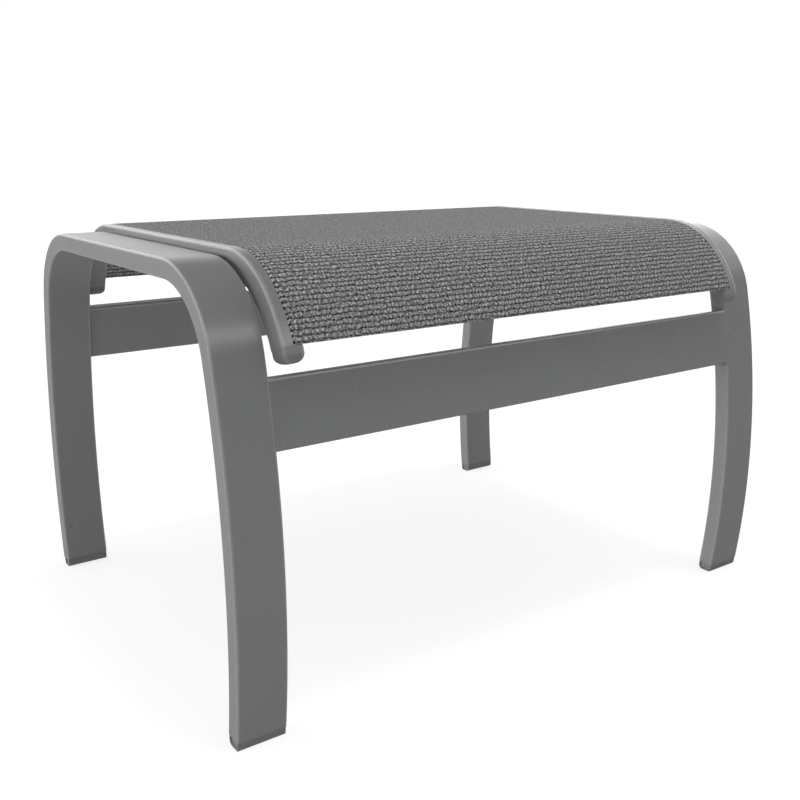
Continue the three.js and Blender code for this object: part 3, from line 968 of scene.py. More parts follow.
@dataclass(frozen=True)
class WovenFinish:
    """Sling cloth: thick ribs of mottled yarn across the stool, with dark gaps between the floats and
    painted shade between the ribs.
    """

    name: str
    rib_pitch: float
    float_pitch: float
    mottle: float
    half_width: float
    gap_colour: tuple[float, float, float]
    thread_colour: tuple[float, float, float]
    fleck_colour: tuple[float, float, float]
    relief: float
    yarn: Yarn = Yarn()
    gap_roughness: float = 0.92
    fleck_roughness: float = 0.72
    sheen: float = 0.05
    sheen_roughness: float = 0.5
    specular: float = 0.12

    @cached_property
    def material(self) -> bpy.types.Material:
        """The cloth as a material on the UV map, whose values are metres across and along the cloth.

        Returns:
            The material, made once.
        """
        material, hand, shader = new_material(self.name)
        uv = hand.add("TexCoord").outputs["UV"]
        weave = hand.group(weave_pattern(self.yarn), {
            "Place": uv, "Rib": self.rib_pitch, "Float": self.float_pitch, "Mottle": self.mottle,
            "Half Width": self.half_width,
        })
        tone = weave.outputs["Tone"]
        light = hand.spread(tone, 0.5, 1.0, 0.0, 1.0, "LINEAR")
        dark = hand.spread(tone, 0.0, 0.5, 1.0, 0.0, "LINEAR")
        colour = hand.mix(dark, linear(*self.thread_colour), linear(*self.gap_colour))
        cover(hand, shader, {
            "Base Color": hand.mix(light, colour, linear(*self.fleck_colour)),
            "Roughness": hand.spread(tone, 0.0, 1.0, self.gap_roughness, self.fleck_roughness),
            "Sheen Weight": self.sheen,
            "Sheen Roughness": self.sheen_roughness,
            "Specular IOR Level": self.specular,
        }, weave.outputs["Height"], self.relief)
        return material


POWDER_COAT = PaintedFinish(
    name="powder_coat",
    colour=(125, 127, 126),
    worn_colour=(150, 152, 150),
    roughness=0.28,
    pebble=0.9 * MM,
    pebble_height=0.005 * MM,
    wear=0.6,
    dust=0.06,
)
# The stretchers' coat: its upper edges are lightened in colour, a painted highlight of light falling from
# the front and above.
STRETCHER_HIGHLIGHT_COAT = replace(POWDER_COAT, name="rubbed_powder_coat", worn_colour=(168, 170, 168), wear=0.9)
MOULDED_TRIM = PaintedFinish(
    name="moulded_trim",
    colour=(112, 114, 113),
    worn_colour=(138, 140, 138),
    roughness=0.45,
    pebble=0.5 * MM,
    pebble_height=0.02 * MM,
    wear=0.4,
    dust=0.2,
)
SPLINE_PLASTIC = PaintedFinish(
    name="spline_plastic",
    colour=(52, 52, 52),
    worn_colour=(86, 86, 84),
    roughness=0.38,
    pebble=0.7 * MM,
    pebble_height=0.01 * MM,
    wear=0.4,
    dust=0.1,
)
BARE_ALUMINIUM = MetalFinish(
    name="bare_aluminium",
    colour=(196, 198, 200),
    roughness=0.38,
    line_pitch=0.35 * MM,
    line_height=0.01 * MM,
)
STAINLESS = MetalFinish(
    name="stainless",
    colour=(202, 201, 198),
    roughness=0.26,
    line_pitch=0.5 * MM,
    line_height=0.004 * MM,
)


@dataclass(frozen=True)
class Layout:
    """Sizes that more than one sub-assembly uses, read from the frame or named here."""

    depth: float = 523 * MM
    shoulder_radius: float = 96 * MM
    bow_radius: float = 994 * MM
    bow_level: float = 134.8 * MM
    foot_height: float = 10.2 * MM
    tube_thickness: float = 19.05 * MM
    rail_flat: float = 318 * MM
    rail_shoulder: Bend = Bend(97.5 * MM, 42 * DEGREE)
    rail_drop: Bend = Bend(132 * MM, HALF)
    rail_end_slope: float = 68.2 * DEGREE
    collar_end_slope: float = 70.6 * DEGREE
    seam: float = 0.05 * MM
    rail_depth: float = 21 * MM
    rail_wall: float = 1.6 * MM
    rail_lip: float = 1.2 * MM
    rail_bead: float = 1.5 * MM
    rail_rim: float = 3.2 * MM
    rail_strip: float = -0.35 * MM
    slot_setback: float = 12 * MM
    cloth: float = 1 * MM
    cloth_end_slope: float = 68 * DEGREE
    spline_radius: float = 2.2 * MM
    bar_setback: float = 105 * MM

    @cached_property
    def frame_inboard(self) -> float:
        """Where the side frames' inboard faces stand."""
        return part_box("right_leg_frame")[0].x

    @cached_property
    def frame_outboard(self) -> float:
        """Where the side frames' outboard faces stand."""
        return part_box("right_leg_frame")[1].x

    @property
    def frame_width(self) -> float:
        """The width of the side frames' tube."""
        return self.frame_outboard - self.frame_inboard

    @property
    def frame_middle(self) -> float:
        """Where the middle of the side frames' tube lies."""
        return (self.frame_outboard + self.frame_inboard) / 2

    @cached_property
    def rail_inboard(self) -> float:
        """Where the sling rails' inboard faces stand."""
        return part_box("right_sling_rail")[0].x

    @cached_property
    def rail_outboard(self) -> float:
        """Where the sling rails' outboard faces stand."""
        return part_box("right_sling_rail")[1].x

    @cached_property
    def leg_arch(self) -> Arch:
        """The side frames' outer face: the bow's centre is at the level where the legs are furthest apart.

        Returns:
            The arch.
        """
        top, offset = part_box("right_leg_frame")[1].z, self.shoulder_radius - self.bow_radius
        sweep = math.acos((self.bow_level - top + self.shoulder_radius) / offset)
        flat_half = self.depth / 2 - self.bow_radius - offset * math.sin(sweep)
        return Arch(top, flat_half, (Bend(self.shoulder_radius, sweep), Bend(self.bow_radius, HALF)))

    @cached_property
    def rail_arch(self) -> Arch:
        """The sling rails' top."""
        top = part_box("right_sling_rail")[1].z
        return Arch(top, self.rail_flat / 2, (self.rail_shoulder, self.rail_drop))

    def leg_slope(self, level: float) -> float:
        """The slope of the legs where their middle line is at a level."""
        return math.acos((level - self.bow_level) / (self.bow_radius - self.tube_thickness / 2))

    @cached_property
    def leg_end_slope(self) -> float:
        """The slope at which the legs are cut, at the glides' height."""
        return self.leg_slope(self.foot_height)

    @property
    def rail_face(self) -> float:
        """The rails' sunk face beside the bead, below the arch."""
        return -self.rail_bead

    @property
    def cloth_under(self) -> float:
        """The underside of the cloth, below the arch."""
        return self.rail_face + SEAT_GAP

    @property
    def pocket_radius(self) -> float:
        """The outside of the cloth round a spline."""
        return self.spline_radius + SEAT_GAP + self.cloth

    @property
    def channel_radius(self) -> float:
        """The rails' round channel."""
        return self.pocket_radius + SEAT_GAP

    @property
    def channel_level(self) -> float:
        """The middle of the rails' channel, below the arch."""
        return self.rail_face - self.rail_lip - self.channel_radius

    @property
    def slot_x(self) -> float:
        """Where the slot lies across the stool."""
        return self.rail_outboard - self.slot_setback

    @property
    def hollow(self) -> tuple[float, float]:
        """The bottom and top of the rails' hollow, below the arch."""
        return self.rail_wall - self.rail_depth, self.channel_level - self.channel_radius - self.rail_wall

    @property
    def bolt_level(self) -> float:
        """The height of the bolts, in the middle of the rails' hollow."""
        return self.rail_arch.top + sum(self.hollow) / 2


LAYOUT = Layout()

SLING_CLOTH = WovenFinish(
    name="sling_cloth",
    rib_pitch=5.25 * MM,
    float_pitch=4.75 * MM,
    mottle=2.1 * MM,
    half_width=LAYOUT.slot_x + LAYOUT.cloth,
    # The weave's dark: its gaps, and the painted shade between the ribs.
    gap_colour=(36, 36, 37),
    thread_colour=(130, 130, 130),
    fleck_colour=(222, 222, 221),
    relief=0.25 * MM,
)


@dataclass(frozen=True)
class SideFrame:
    """A side frame of the stool: one flat tube bent into an arch, open at both feet."""

    wall: float = 2 * MM
    corner: float = 2.4 * MM

    def build(self, side: Side) -> bpy.types.Object:
        """The tube's outer and inner skins carried along the arch, with square-cut ends.

        Args:
            side: Which frame.

        Returns:
            The piece.
        """
        thick = LAYOUT.tube_thickness
        outer, inner = tube_section(-thick / 2, LAYOUT.frame_width, thick, self.corner, self.wall)
        along = LAYOUT.leg_arch.whole(LAYOUT.leg_end_slope)
        draft = Draft()
        draft.sweep(LAYOUT.leg_arch.stations(along, side.value * LAYOUT.frame_middle), outer, (inner,))
        return dress(draft, f"{side.word}_leg_frame", POWDER_COAT.material)


def soft_corner(
    before: np.ndarray, corner: np.ndarray, after: np.ndarray, distance: float, steps: int,
) -> np.ndarray:
    """A corner rounded by the quadratic curve that leaves both sides at a distance from it.

    Args:
        before: The point before the corner.
        corner: The corner.
        after: The point after it.
        distance: How far from the corner the curve starts and ends.
        steps: How many segments it has.

    Returns:
        The curve's points: (1-t) squared times the start, 2t(1-t) times the corner, t squared times the end.
    """
    start = corner + (before - corner) / np.linalg.norm(before - corner) * distance
    stop = corner + (after - corner) / np.linalg.norm(after - corner) * distance
    t = np.linspace(0, 1, steps + 1)[:, None]
    return (1 - t) ** 2 * start + 2 * t * (1 - t) * corner + t ** 2 * stop


@dataclass(frozen=True)
class FootGlide:
    """A moulded glide in the end of a leg: a flat sole, a tight toe, a round heel and a plug."""

    inset: float = 1 * MM
    toe: float = 1.5 * MM
    heel: float = 7 * MM
    edge: float = 1.5 * MM
    wall: float = 2 * MM
    plug_corner: float = 0.5 * MM
    plug_depth: float = 18 * MM
    toe_steps: int = 8
    heel_steps: int = 16

    def sole_outline(self, end: End) -> np.ndarray:
        """The glide seen from the side, in Y and Z, from the leg's outer face round the sole.

        Args:
            end: The front or rear foot.

        Returns:
            The outline's points.
        """
        foot = np.array([end.value * LAYOUT.leg_arch.length_to(LAYOUT.leg_end_slope)])
        place, outward = (value[0, 1:] for value in LAYOUT.leg_arch.at(foot))
        downward = np.array([outward[1] * end.value, -outward[0] * end.value])
        outer = place - outward * self.inset + downward * SEAT_GAP
        inner = place - outward * (LAYOUT.tube_thickness - self.inset) + downward * SEAT_GAP
        toe, heel = (point - downward * point[1] / downward[1] for point in (outer, inner))
        return np.concatenate([
            outer[None],
            soft_corner(outer, toe, heel, self.toe, self.toe_steps),
            soft_corner(toe, heel, inner, self.heel, self.heel_steps),
            inner[None],
        ])

    def block(self, end: End) -> np.ndarray:
        """The sole's outline in slices across the leg, each drawn in where the side edges are rounded.

        Args:
            end: The front or rear foot.

        Returns:
            Rings of points, one for each slice.
        """
        sole = supported(self.sole_outline(end))
        middle = (sole.min(axis=0) + sole.max(axis=0)) / 2
        reach = LAYOUT.tube_thickness / 2 - self.inset
        half = LAYOUT.frame_width / 2 - self.inset
        rounding = arc(half - self.edge, self.edge, self.edge, 0, QUARTER)
        across = np.concatenate([-rounding[::-1, 0], rounding[:, 0]])
        draw = (rounding[:, 1] - self.edge) / reach
        draw = np.concatenate([draw[::-1], draw])[:, None, None]
        section = sole[None] * (1 - draw) + middle * draw
        x = np.broadcast_to(across[:, None, None], (*section.shape[:2], 1))
        return np.concatenate([x, section], axis=2)

    def build(self, side: Side, end: End) -> bpy.types.Object:
        """The block under the leg and the plug inside it.

        Args:
            side: Which side frame.
            end: Which of its feet.

        Returns:
            The piece.
        """
        thick, centre = LAYOUT.tube_thickness, side.value * LAYOUT.frame_middle
        rings = self.block(end) + np.array([centre, 0, 0])
        clear = 2 * (self.wall + SEAT_GAP)
        plug = rounded_rectangle(
            0, -thick / 2, LAYOUT.frame_width - clear, thick - clear, self.plug_corner,
        )
        foot = LAYOUT.leg_arch.length_to(LAYOUT.leg_end_slope)
        reach = end.value * np.array([foot - self.plug_depth, foot + self.inset])
        draft = Draft()
        draft.loft(rings)
        draft.sweep(LAYOUT.leg_arch.stations(reach, centre), plug)
        return dress(draft, f"{end.word}_{side.word}_glide", MOULDED_TRIM.material)


@dataclass(frozen=True)
class Stretcher:
    """A flat tube between the legs, at the slope that the legs have at its level."""

    height: float = 64.5 * MM
    thickness: float = 15 * MM
    wall: float = 2 * MM
    corner: float = 3 * MM
    level: float = 303.4 * MM
    recess: float = 0.6 * MM
    weld: float = 0.8 * MM
    step: float = 20 * MM

    def build(self, end: End) -> bpy.types.Object:
        """The tube's skins carried straight across the stool.

        Args:
            end: The front or rear stretcher.

        Returns:
            The piece.
        """
        arch = LAYOUT.leg_arch
        at = end.value * arch.length_to(LAYOUT.leg_slope(self.level))
        place, outward = (value[0] for value in arch.at(np.array([at])))
        centre = place - outward * (self.recess + self.thickness / 2)
        half = LAYOUT.frame_inboard + self.weld
        x = np.linspace(-half, half, math.ceil(2 * half / self.step) + 1)
        origin = np.stack([x, np.full_like(x, centre[1]), np.full_like(x, centre[2])], axis=-1)
        up = np.cross(outward, np.array([1.0, 0.0, 0.0]))
        outer, inner = tube_section(0, self.height, self.thickness, self.corner, self.wall)
        across, out = (np.broadcast_to(direction, origin.shape) for direction in (up, outward))
        draft = Draft()
        # Painted highlight: only the edges on the upper side of the section are marked, so the coat lightens
        # them.
        painted_highlight_edges = edge_of(outer) * (outer[:, 0] * up[2] > 0)
        draft.sweep(Stations(origin, across, out, x), outer, (inner,), painted_highlight_edges)
        return dress(draft, f"{end.word}_stretcher", STRETCHER_HIGHLIGHT_COAT.material)


@dataclass(frozen=True)
class SlingRail:
    """A rail that grips the sling: a bead, a slot over a round channel, a round inner lobe and a hollow."""

    edge: float = 2 * MM
    foot: float = 0.6 * MM
    skirt: float = 1.2 * MM
    lobe: float = 5.5 * MM
    lip: float = 0.3 * MM

    @property
    def width(self) -> float:
        """The rail's width across the stool."""
        return LAYOUT.rail_outboard - LAYOUT.rail_inboard

    def outline(self) -> np.ndarray:
        """The rail's outline with x inwards from its outboard face.

        Returns:
            The outline's points, clockwise from its lower corner.
        """
        depth, width, rim, strip = LAYOUT.rail_depth, self.width, LAYOUT.rail_rim, LAYOUT.rail_strip
        slot_half = LAYOUT.cloth + SEAT_GAP
        slot_turn = math.asin(slot_half / LAYOUT.channel_radius)
        face, setback = LAYOUT.rail_face, LAYOUT.slot_setback
        lobe_x, lobe_y = width - self.lobe, face - self.lobe
        return np.concatenate([
            arc(self.foot, self.foot - depth - self.skirt, self.foot, HALF + QUARTER, HALF),
            arc(rim, -rim, rim, HALF, QUARTER, 2 * CORNER_STEPS),
            arc(rim, strip, -strip, QUARTER, 0, FINE_STEPS),
            [[setback - slot_half, strip]],
            arc(
                setback, LAYOUT.channel_level, LAYOUT.channel_radius,
                QUARTER + slot_turn, FULL + QUARTER - slot_turn, 4 * CORNER_STEPS,
            ),
            arc(setback + slot_half + self.lip, face - self.lip, self.lip, HALF, QUARTER, FINE_STEPS),
            arc(lobe_x, lobe_y, self.lobe, QUARTER, 0),
            arc(width - self.edge, self.edge - depth, self.edge, 0, -QUARTER),
        ])

    def hollow_outline(self) -> np.ndarray:
        """The hollow beside and under the channel, with x as in the outline.

        Returns:
            The hollow's corners, clockwise.
        """
        wall, (bottom, top) = LAYOUT.rail_wall, LAYOUT.hollow
        beside = LAYOUT.slot_setback - LAYOUT.channel_radius - wall
        ceiling = LAYOUT.rail_face - wall
        return np.array([
            [wall, ceiling],
            [beside, ceiling],
            [beside, top],
            [self.width - wall, top],
            [self.width - wall, bottom],
            [wall, bottom],
        ])

    def placed(self, outline: np.ndarray, side: Side) -> np.ndarray:
        """An outline with x inwards from the rail's outboard face, put in its place across the stool."""
        return outline * np.array([-side.value, 1]) + np.array([side.value * LAYOUT.rail_outboard, 0])

    def across(self, outline: np.ndarray, side: Side) -> np.ndarray:
        """A clockwise outline put in its place, counter-clockwise."""
        return self.placed(outline, side)[::side.value]

    def build(self, side: Side) -> bpy.types.Object:
        """The section carried along the rail's arch.

        Args:
            side: Which rail.

        Returns:
            The piece.
        """
        section = supported(self.across(self.outline(), side))
        hollow = self.across(self.hollow_outline(), side)
        path = LAYOUT.rail_arch.stations(LAYOUT.rail_arch.whole(LAYOUT.rail_end_slope))
        draft = Draft()
        draft.sweep(path, section, (hollow,))
        return dress(draft, f"{side.word}_sling_rail", POWDER_COAT.material)


@dataclass(frozen=True)
class RailCap:
    """A moulded cap on a rail's end: a plug, a collar of the rail's outline and a round nose."""

    rail: SlingRail
    plug_depth: float = 12 * MM
    nose: float = 9.5 * MM
    sweep: float = 86 * DEGREE
    fullness: float = 0.8
    draft_share: float = 0.75
    nose_steps: int = 26

    def collar_outline(self) -> np.ndarray:
        """The collar's outline with x inwards from the rail's outboard face.

        Returns:
            The outline's points, clockwise.
        """
        depth, rim = LAYOUT.rail_depth, LAYOUT.rail_rim
        width, edge, lobe = self.rail.width, self.rail.edge, self.rail.lobe
        return np.concatenate([
            arc(edge, edge - depth - self.rail.skirt, edge, HALF + QUARTER, HALF),
            arc(rim, -rim, rim, HALF, QUARTER),
            arc(width - lobe, LAYOUT.rail_strip - lobe, lobe, QUARTER, 0),
            arc(width - edge, edge - depth, edge, 0, -QUARTER),
        ])

    def plug_outline(self) -> np.ndarray:
        """The plug's outline in the rail's hollow, with x inwards from the rail's outboard face.

        Returns:
            As many points as the collar has, in the same order.
        """
        bottom, top = LAYOUT.hollow[0] + SEAT_GAP, LAYOUT.hollow[1] - SEAT_GAP
        left = LAYOUT.rail_wall + SEAT_GAP
        right = self.rail.width - left
        edge = (top - bottom) / 2 - SEAT_GAP
        return np.concatenate([
            arc(left + edge, bottom + edge, edge, -QUARTER, -HALF),
            arc(left + edge, top - edge, edge, HALF, QUARTER),
            arc(right - edge, top - edge, edge, QUARTER, 0),
            arc(right - edge, bottom + edge, edge, 0, -QUARTER),
        ])

    def build(self, side: Side, end: End) -> bpy.types.Object:
        """Rings along the rail's own arch, beyond its end.

        The nose's ring at a turn stands the sine of the turn times its length beyond the collar. Its width
        is the collar's times the turn's cosine to the power of the fullness, and its depth shrinks less.

        Args:
            side: Which rail.
            end: Which of its ends.

        Returns:
            The piece.
        """
        collar, plug = self.collar_outline(), self.plug_outline()
        middle = np.array([self.rail.width / 2, -LAYOUT.rail_depth / 2])
        turn = np.linspace(0, self.sweep, self.nose_steps + 1)[1:]
        narrow = np.cos(turn) ** self.fullness
        scale = np.stack([narrow, 1 - self.draft_share * (1 - narrow)], axis=-1)
        nose = middle + (collar - middle) * scale[:, None]
        arch, seam = LAYOUT.rail_arch, LAYOUT.seam
        length = arch.length_to(LAYOUT.collar_end_slope) - arch.length_to(LAYOUT.rail_end_slope)
        base = [-self.plug_depth, seam, seam, length / 2, length]
        beyond = np.concatenate([base, length + np.sin(turn) * self.nose])
        sections = np.concatenate([np.stack([plug, plug, collar, collar, collar]), nose])
        path = arch.stations(end.value * (arch.length_to(LAYOUT.rail_end_slope) + beyond))
        draft = Draft()
        draft.loft(path.place(self.rail.placed(sections, side)), edge_of(collar[::-1])[::-1])
        return dress(draft, f"{end.word}_{side.word}_rail_cap", MOULDED_TRIM.material)


@dataclass(frozen=True)
class Sling:
    """The cloth between the rails: ribs across the stool, a hem at each end and a pocket at each side."""

    steps_in_rib: int = 6
    columns: int = 44
    relief: float = 0.2 * MM
    hem: float = 20 * MM
    hem_thickness: float = 0.8 * MM
    sway: float = 0.45 * MM
    pocket_steps: int = 14
    neck_steps: int = 5
    spline_hole_steps: int = 12
    selvedge: float = 1.5 * MM
    sway_fade: float = 30 * MM
    hem_edge: float = 2 * MM

    @property
    def reach(self) -> float:
        """The distance along the arch from the middle of the cloth to its end."""
        return LAYOUT.rail_arch.length_to(LAYOUT.cloth_end_slope)

    @property
    def flat(self) -> tuple[float, float]:
        """The cloth's flat size, with what goes round the splines and what is folded into the hems."""
        return 2 * (LAYOUT.slot_x + FULL * LAYOUT.pocket_radius), 2 * (self.reach + self.hem)

    def outline(self) -> tuple[np.ndarray, np.ndarray]:
        """The cloth's outline across the stool, and how much of it is open cloth.

        Returns:
            The closed outline, counter-clockwise from the right slot, and for each point 1 on the upper
            face, -1 on the lower face and 0 where the cloth goes down into its pockets.
        """
        thick, under, pocket = LAYOUT.cloth, LAYOUT.cloth_under, LAYOUT.pocket_radius
        level, slot = LAYOUT.channel_level, LAYOUT.slot_x
        neck = math.asin(thick / pocket)
        start, stop = FULL + neck - QUARTER - HALF, FULL + QUARTER - neck
        right = np.concatenate([
            arc(slot, level, pocket, start, stop, self.pocket_steps)[1:],
            arc(slot, under, thick, 0, QUARTER, self.neck_steps)[1:-1],
        ])
        x = np.linspace(slot, -slot, self.columns + 1)
        upper = np.stack([x, np.full_like(x, under + thick)], axis=-1)
        left = (right * np.array([-1, 1]))[::-1]
        lower_x = np.linspace(-slot + thick, slot - thick, self.columns // 2 + 1)
        lower = np.stack([lower_x, np.full_like(lower_x, under)], axis=-1)
        face = np.concatenate([
            np.zeros(len(right)), np.ones(len(upper)), np.zeros(len(left)), -np.ones(len(lower)),
        ])
        return np.concatenate([right, upper, left, lower]), face

    def rows(self) -> np.ndarray:
        """Places of the cloth's rows: a whole number of ribs, each stepped evenly, and the two ends.

        Returns:
            The rows' distances along the arch.
        """
        reach, pitch = self.reach, SLING_CLOTH.rib_pitch
        ribs = math.floor(reach / pitch)
        last = ribs * self.steps_in_rib
        inner = np.arange(-last, last + 1) * pitch / self.steps_in_rib
        return np.concatenate([[-reach], inner, [reach]]) if reach - ribs * pitch > pitch / 8 else inner

    def surface(self, outline: np.ndarray, face: np.ndarray, rows: np.ndarray) -> np.ndarray:
        """Every point of the cloth.

        A point lies on the arch at its row's distance plus a slow sway, and stands outward by the outline's
        y. The upper face adds the rib's height, the relief times half less half the cosine of its phase,
        and the lower face takes half of it away. The hem adds its thickness below.

        Args:
            outline: The outline across the stool.
            face: 1 on the upper face, -1 on the lower one, 0 in the pockets.
            rows: The rows' distances along the arch.

        Returns:
            The points, rows by columns.
        """
        x, y = outline[None, :, 0], outline[None, :, 1]
        along = rows[:, None]
        reach, half = rows[-1], LAYOUT.slot_x
        open_cloth = np.clip((half - np.abs(x)) / self.selvedge + 0.5, 0, 1) * (face != 0)
        sway = np.sin(x * 31 + along * 9) + 0.6 * np.sin(x * 67 - along * 23 + 1.3)
        to_end = reach - np.abs(along)
        fade = np.clip(to_end / self.sway_fade, 0, 1)
        shifted = along + self.sway / 2 * sway * open_cloth * fade
        rib = 0.5 - 0.5 * np.cos(FULL * along / SLING_CLOTH.rib_pitch)
        lift = np.where(face > 0, rib * self.relief, -rib * self.relief / 2)
        folded = self.hem_thickness * (1 - np.clip((to_end - self.hem) / self.hem_edge, 0, 1))
        y = y + lift * open_cloth - folded * (face < 0) * open_cloth
        place, outward = LAYOUT.rail_arch.at(shifted, x)
        return place + outward * y[..., None]

    def build(self) -> bpy.types.Object:
        """The cloth with its pockets round the splines.

        Returns:
            The piece.
        """
        outline, face = self.outline()
        rows = self.rows()
        draft = Draft()
        points = self.surface(outline, face, rows)
        number = draft.grid(points, np.append(outline[:, 0], outline[0, 0]), rows)
        pocket = LAYOUT.spline_radius + SEAT_GAP
        circle = arc(0, LAYOUT.channel_level, pocket, 0, FULL, self.spline_hole_steps)[:-1][::-1]
        holes = [circle + np.array([sign * LAYOUT.slot_x, 0]) for sign in (1, -1)]
        path = LAYOUT.rail_arch.stations(rows)
        rings = [draft.grid(path.place(hole), distance_round(hole), rows) for hole in holes]
        for row, last in ((0, False), (-1, True)):
            draft.face([number[row], *(ring[row] for ring in rings)], [outline, *holes], last)
        return dress(draft, "sling", SLING_CLOTH.material)


@dataclass(frozen=True)
class Spline:
    """The cord of plastic in a pocket of the sling, with its ends rounded."""

    rounding: float = 1.2 * MM
    tip_steps: int = 5
    turn_step: float = 3 * DEGREE
    run_step: float = 20 * MM
    points_round: int = 20

    def build(self, side: Side) -> bpy.types.Object:
        """A round cord along the rail's arch, whose end rings shrink as a quarter circle.

        Args:
            side: Which rail's spline.

        Returns:
            The piece.
        """
        radius, arch = LAYOUT.spline_radius, LAYOUT.rail_arch
        reach = arch.length_to(LAYOUT.cloth_end_slope)
        bow = arc(0, 0, self.rounding, 0, QUARTER, self.tip_steps)[:-1]
        inner = arch.whole(LAYOUT.cloth_end_slope, self.turn_step, self.run_step)
        inner = inner[np.abs(inner) < reach - self.rounding]
        tips = reach - self.rounding + bow[:, 1]
        along = np.concatenate([-tips[::-1], inner, tips])
        shrink = (radius - self.rounding + bow[:, 0]) / radius
        scale = np.concatenate([shrink[::-1], np.ones(len(inner)), shrink])[:, None, None]
        circle = arc(0, 0, radius, 0, FULL, self.points_round)[:-1] * scale
        centre = np.array([side.value * LAYOUT.slot_x, LAYOUT.channel_level])
        draft = Draft()
        draft.loft(arch.stations(along).place(centre + circle))
        return dress(draft, f"{side.word}_sling_spline", SPLINE_PLASTIC.material)


@dataclass(frozen=True)
class SpreaderBar:
    """A flat bar across the stool under the sling, bent up at both ends, with its edges eased."""

    width: float = 25.4 * MM
    thickness: float = 4 * MM
    bend: float = 8 * MM
    drop: float = 28 * MM
    tab_rise: float = 7.5 * MM
    ease: float = 0.6 * MM
    bend_steps: int = 12
    rise_steps: int = 4
    flat_steps: int = 8

    def path(self, y: float) -> Stations:
        """The bar's outer face, from the left tab's top round the bends to the right tab's top.

        Args:
            y: Where the bar lies from front to rear.

        Returns:
            The stations.
        """
        face = LAYOUT.rail_inboard - SEAT_GAP
        bottom, top = LAYOUT.bolt_level - self.drop, LAYOUT.bolt_level + self.tab_rise
        bend = arc(face - self.bend, bottom + self.bend, self.bend, -QUARTER, 0, self.bend_steps)
        rise = np.linspace(bottom + self.bend, top, self.rise_steps + 1)[1:]
        flat = np.linspace(0, face - self.bend, self.flat_steps + 1)[:-1]
        right = np.concatenate([
            np.stack([flat, np.full_like(flat, bottom)], axis=-1),
            bend,
            np.stack([np.full_like(rise, face), rise], axis=-1),
        ])
        line = np.concatenate([(right * np.array([-1, 1]))[:0:-1], right])
        step = np.gradient(line, axis=0)
        step /= np.linalg.norm(step, axis=1)[:, None]
        origin = np.stack([line[:, 0], np.full(len(line), y), line[:, 1]], axis=-1)
        outward = np.stack([step[:, 1], np.zeros(len(line)), -step[:, 0]], axis=-1)
        across = np.broadcast_to(np.array([0.0, 1.0, 0.0]), origin.shape)
        along = np.concatenate([[0.0], np.cumsum(np.linalg.norm(np.diff(line, axis=0), axis=1))])
        return Stations(origin, across, outward, along)

    def build(self, end: End) -> bpy.types.Object:
        """The bar's section carried along its path.

        Args:
            end: The front or rear bar.

        Returns:
            The piece.
        """
        section = supported(rounded_rectangle(0, -self.thickness / 2, self.width, self.thickness, self.ease))
        draft = Draft()
        draft.sweep(self.path(end.value * LAYOUT.bar_setback), section)
        return dress(draft, f"{end.word}_spreader_bar", BARE_ALUMINIUM.material)


def turned(
    profile: np.ndarray, side: Side, start_x: float, y: float, hoop: bool, facets: np.ndarray,
) -> Draft:
    """A turned solid whose axis runs along X, away from the middle of the stool.

    Args:
        profile: Radius and distance pairs, from one end to the other.
        side: Which way the axis runs.
        start_x: Where the profile's distances start.
        y: Where the axis lies from front to rear.
        hoop: Whether the profile closes on itself, as a ring's does.
        facets: For each row and angle, what the radius is multiplied by.

    Returns:
        A draft of it.
    """
    draft = Draft()
    angle = np.linspace(0, FULL, facets.shape[1], endpoint=False)
    radius = profile[:, 0, None] * facets
    x = np.broadcast_to(side.value * (start_x + profile[:, 1, None]), radius.shape)
    points = np.stack([x, y + radius * np.cos(angle), LAYOUT.bolt_level + radius * np.sin(angle)], axis=-1)
    if hoop:
        around = np.append(angle, FULL) * profile[:, 0].max()
        draft.grid(points, around, distance_round(profile), hoop=True)
    else:
        draft.loft(points)
    return draft


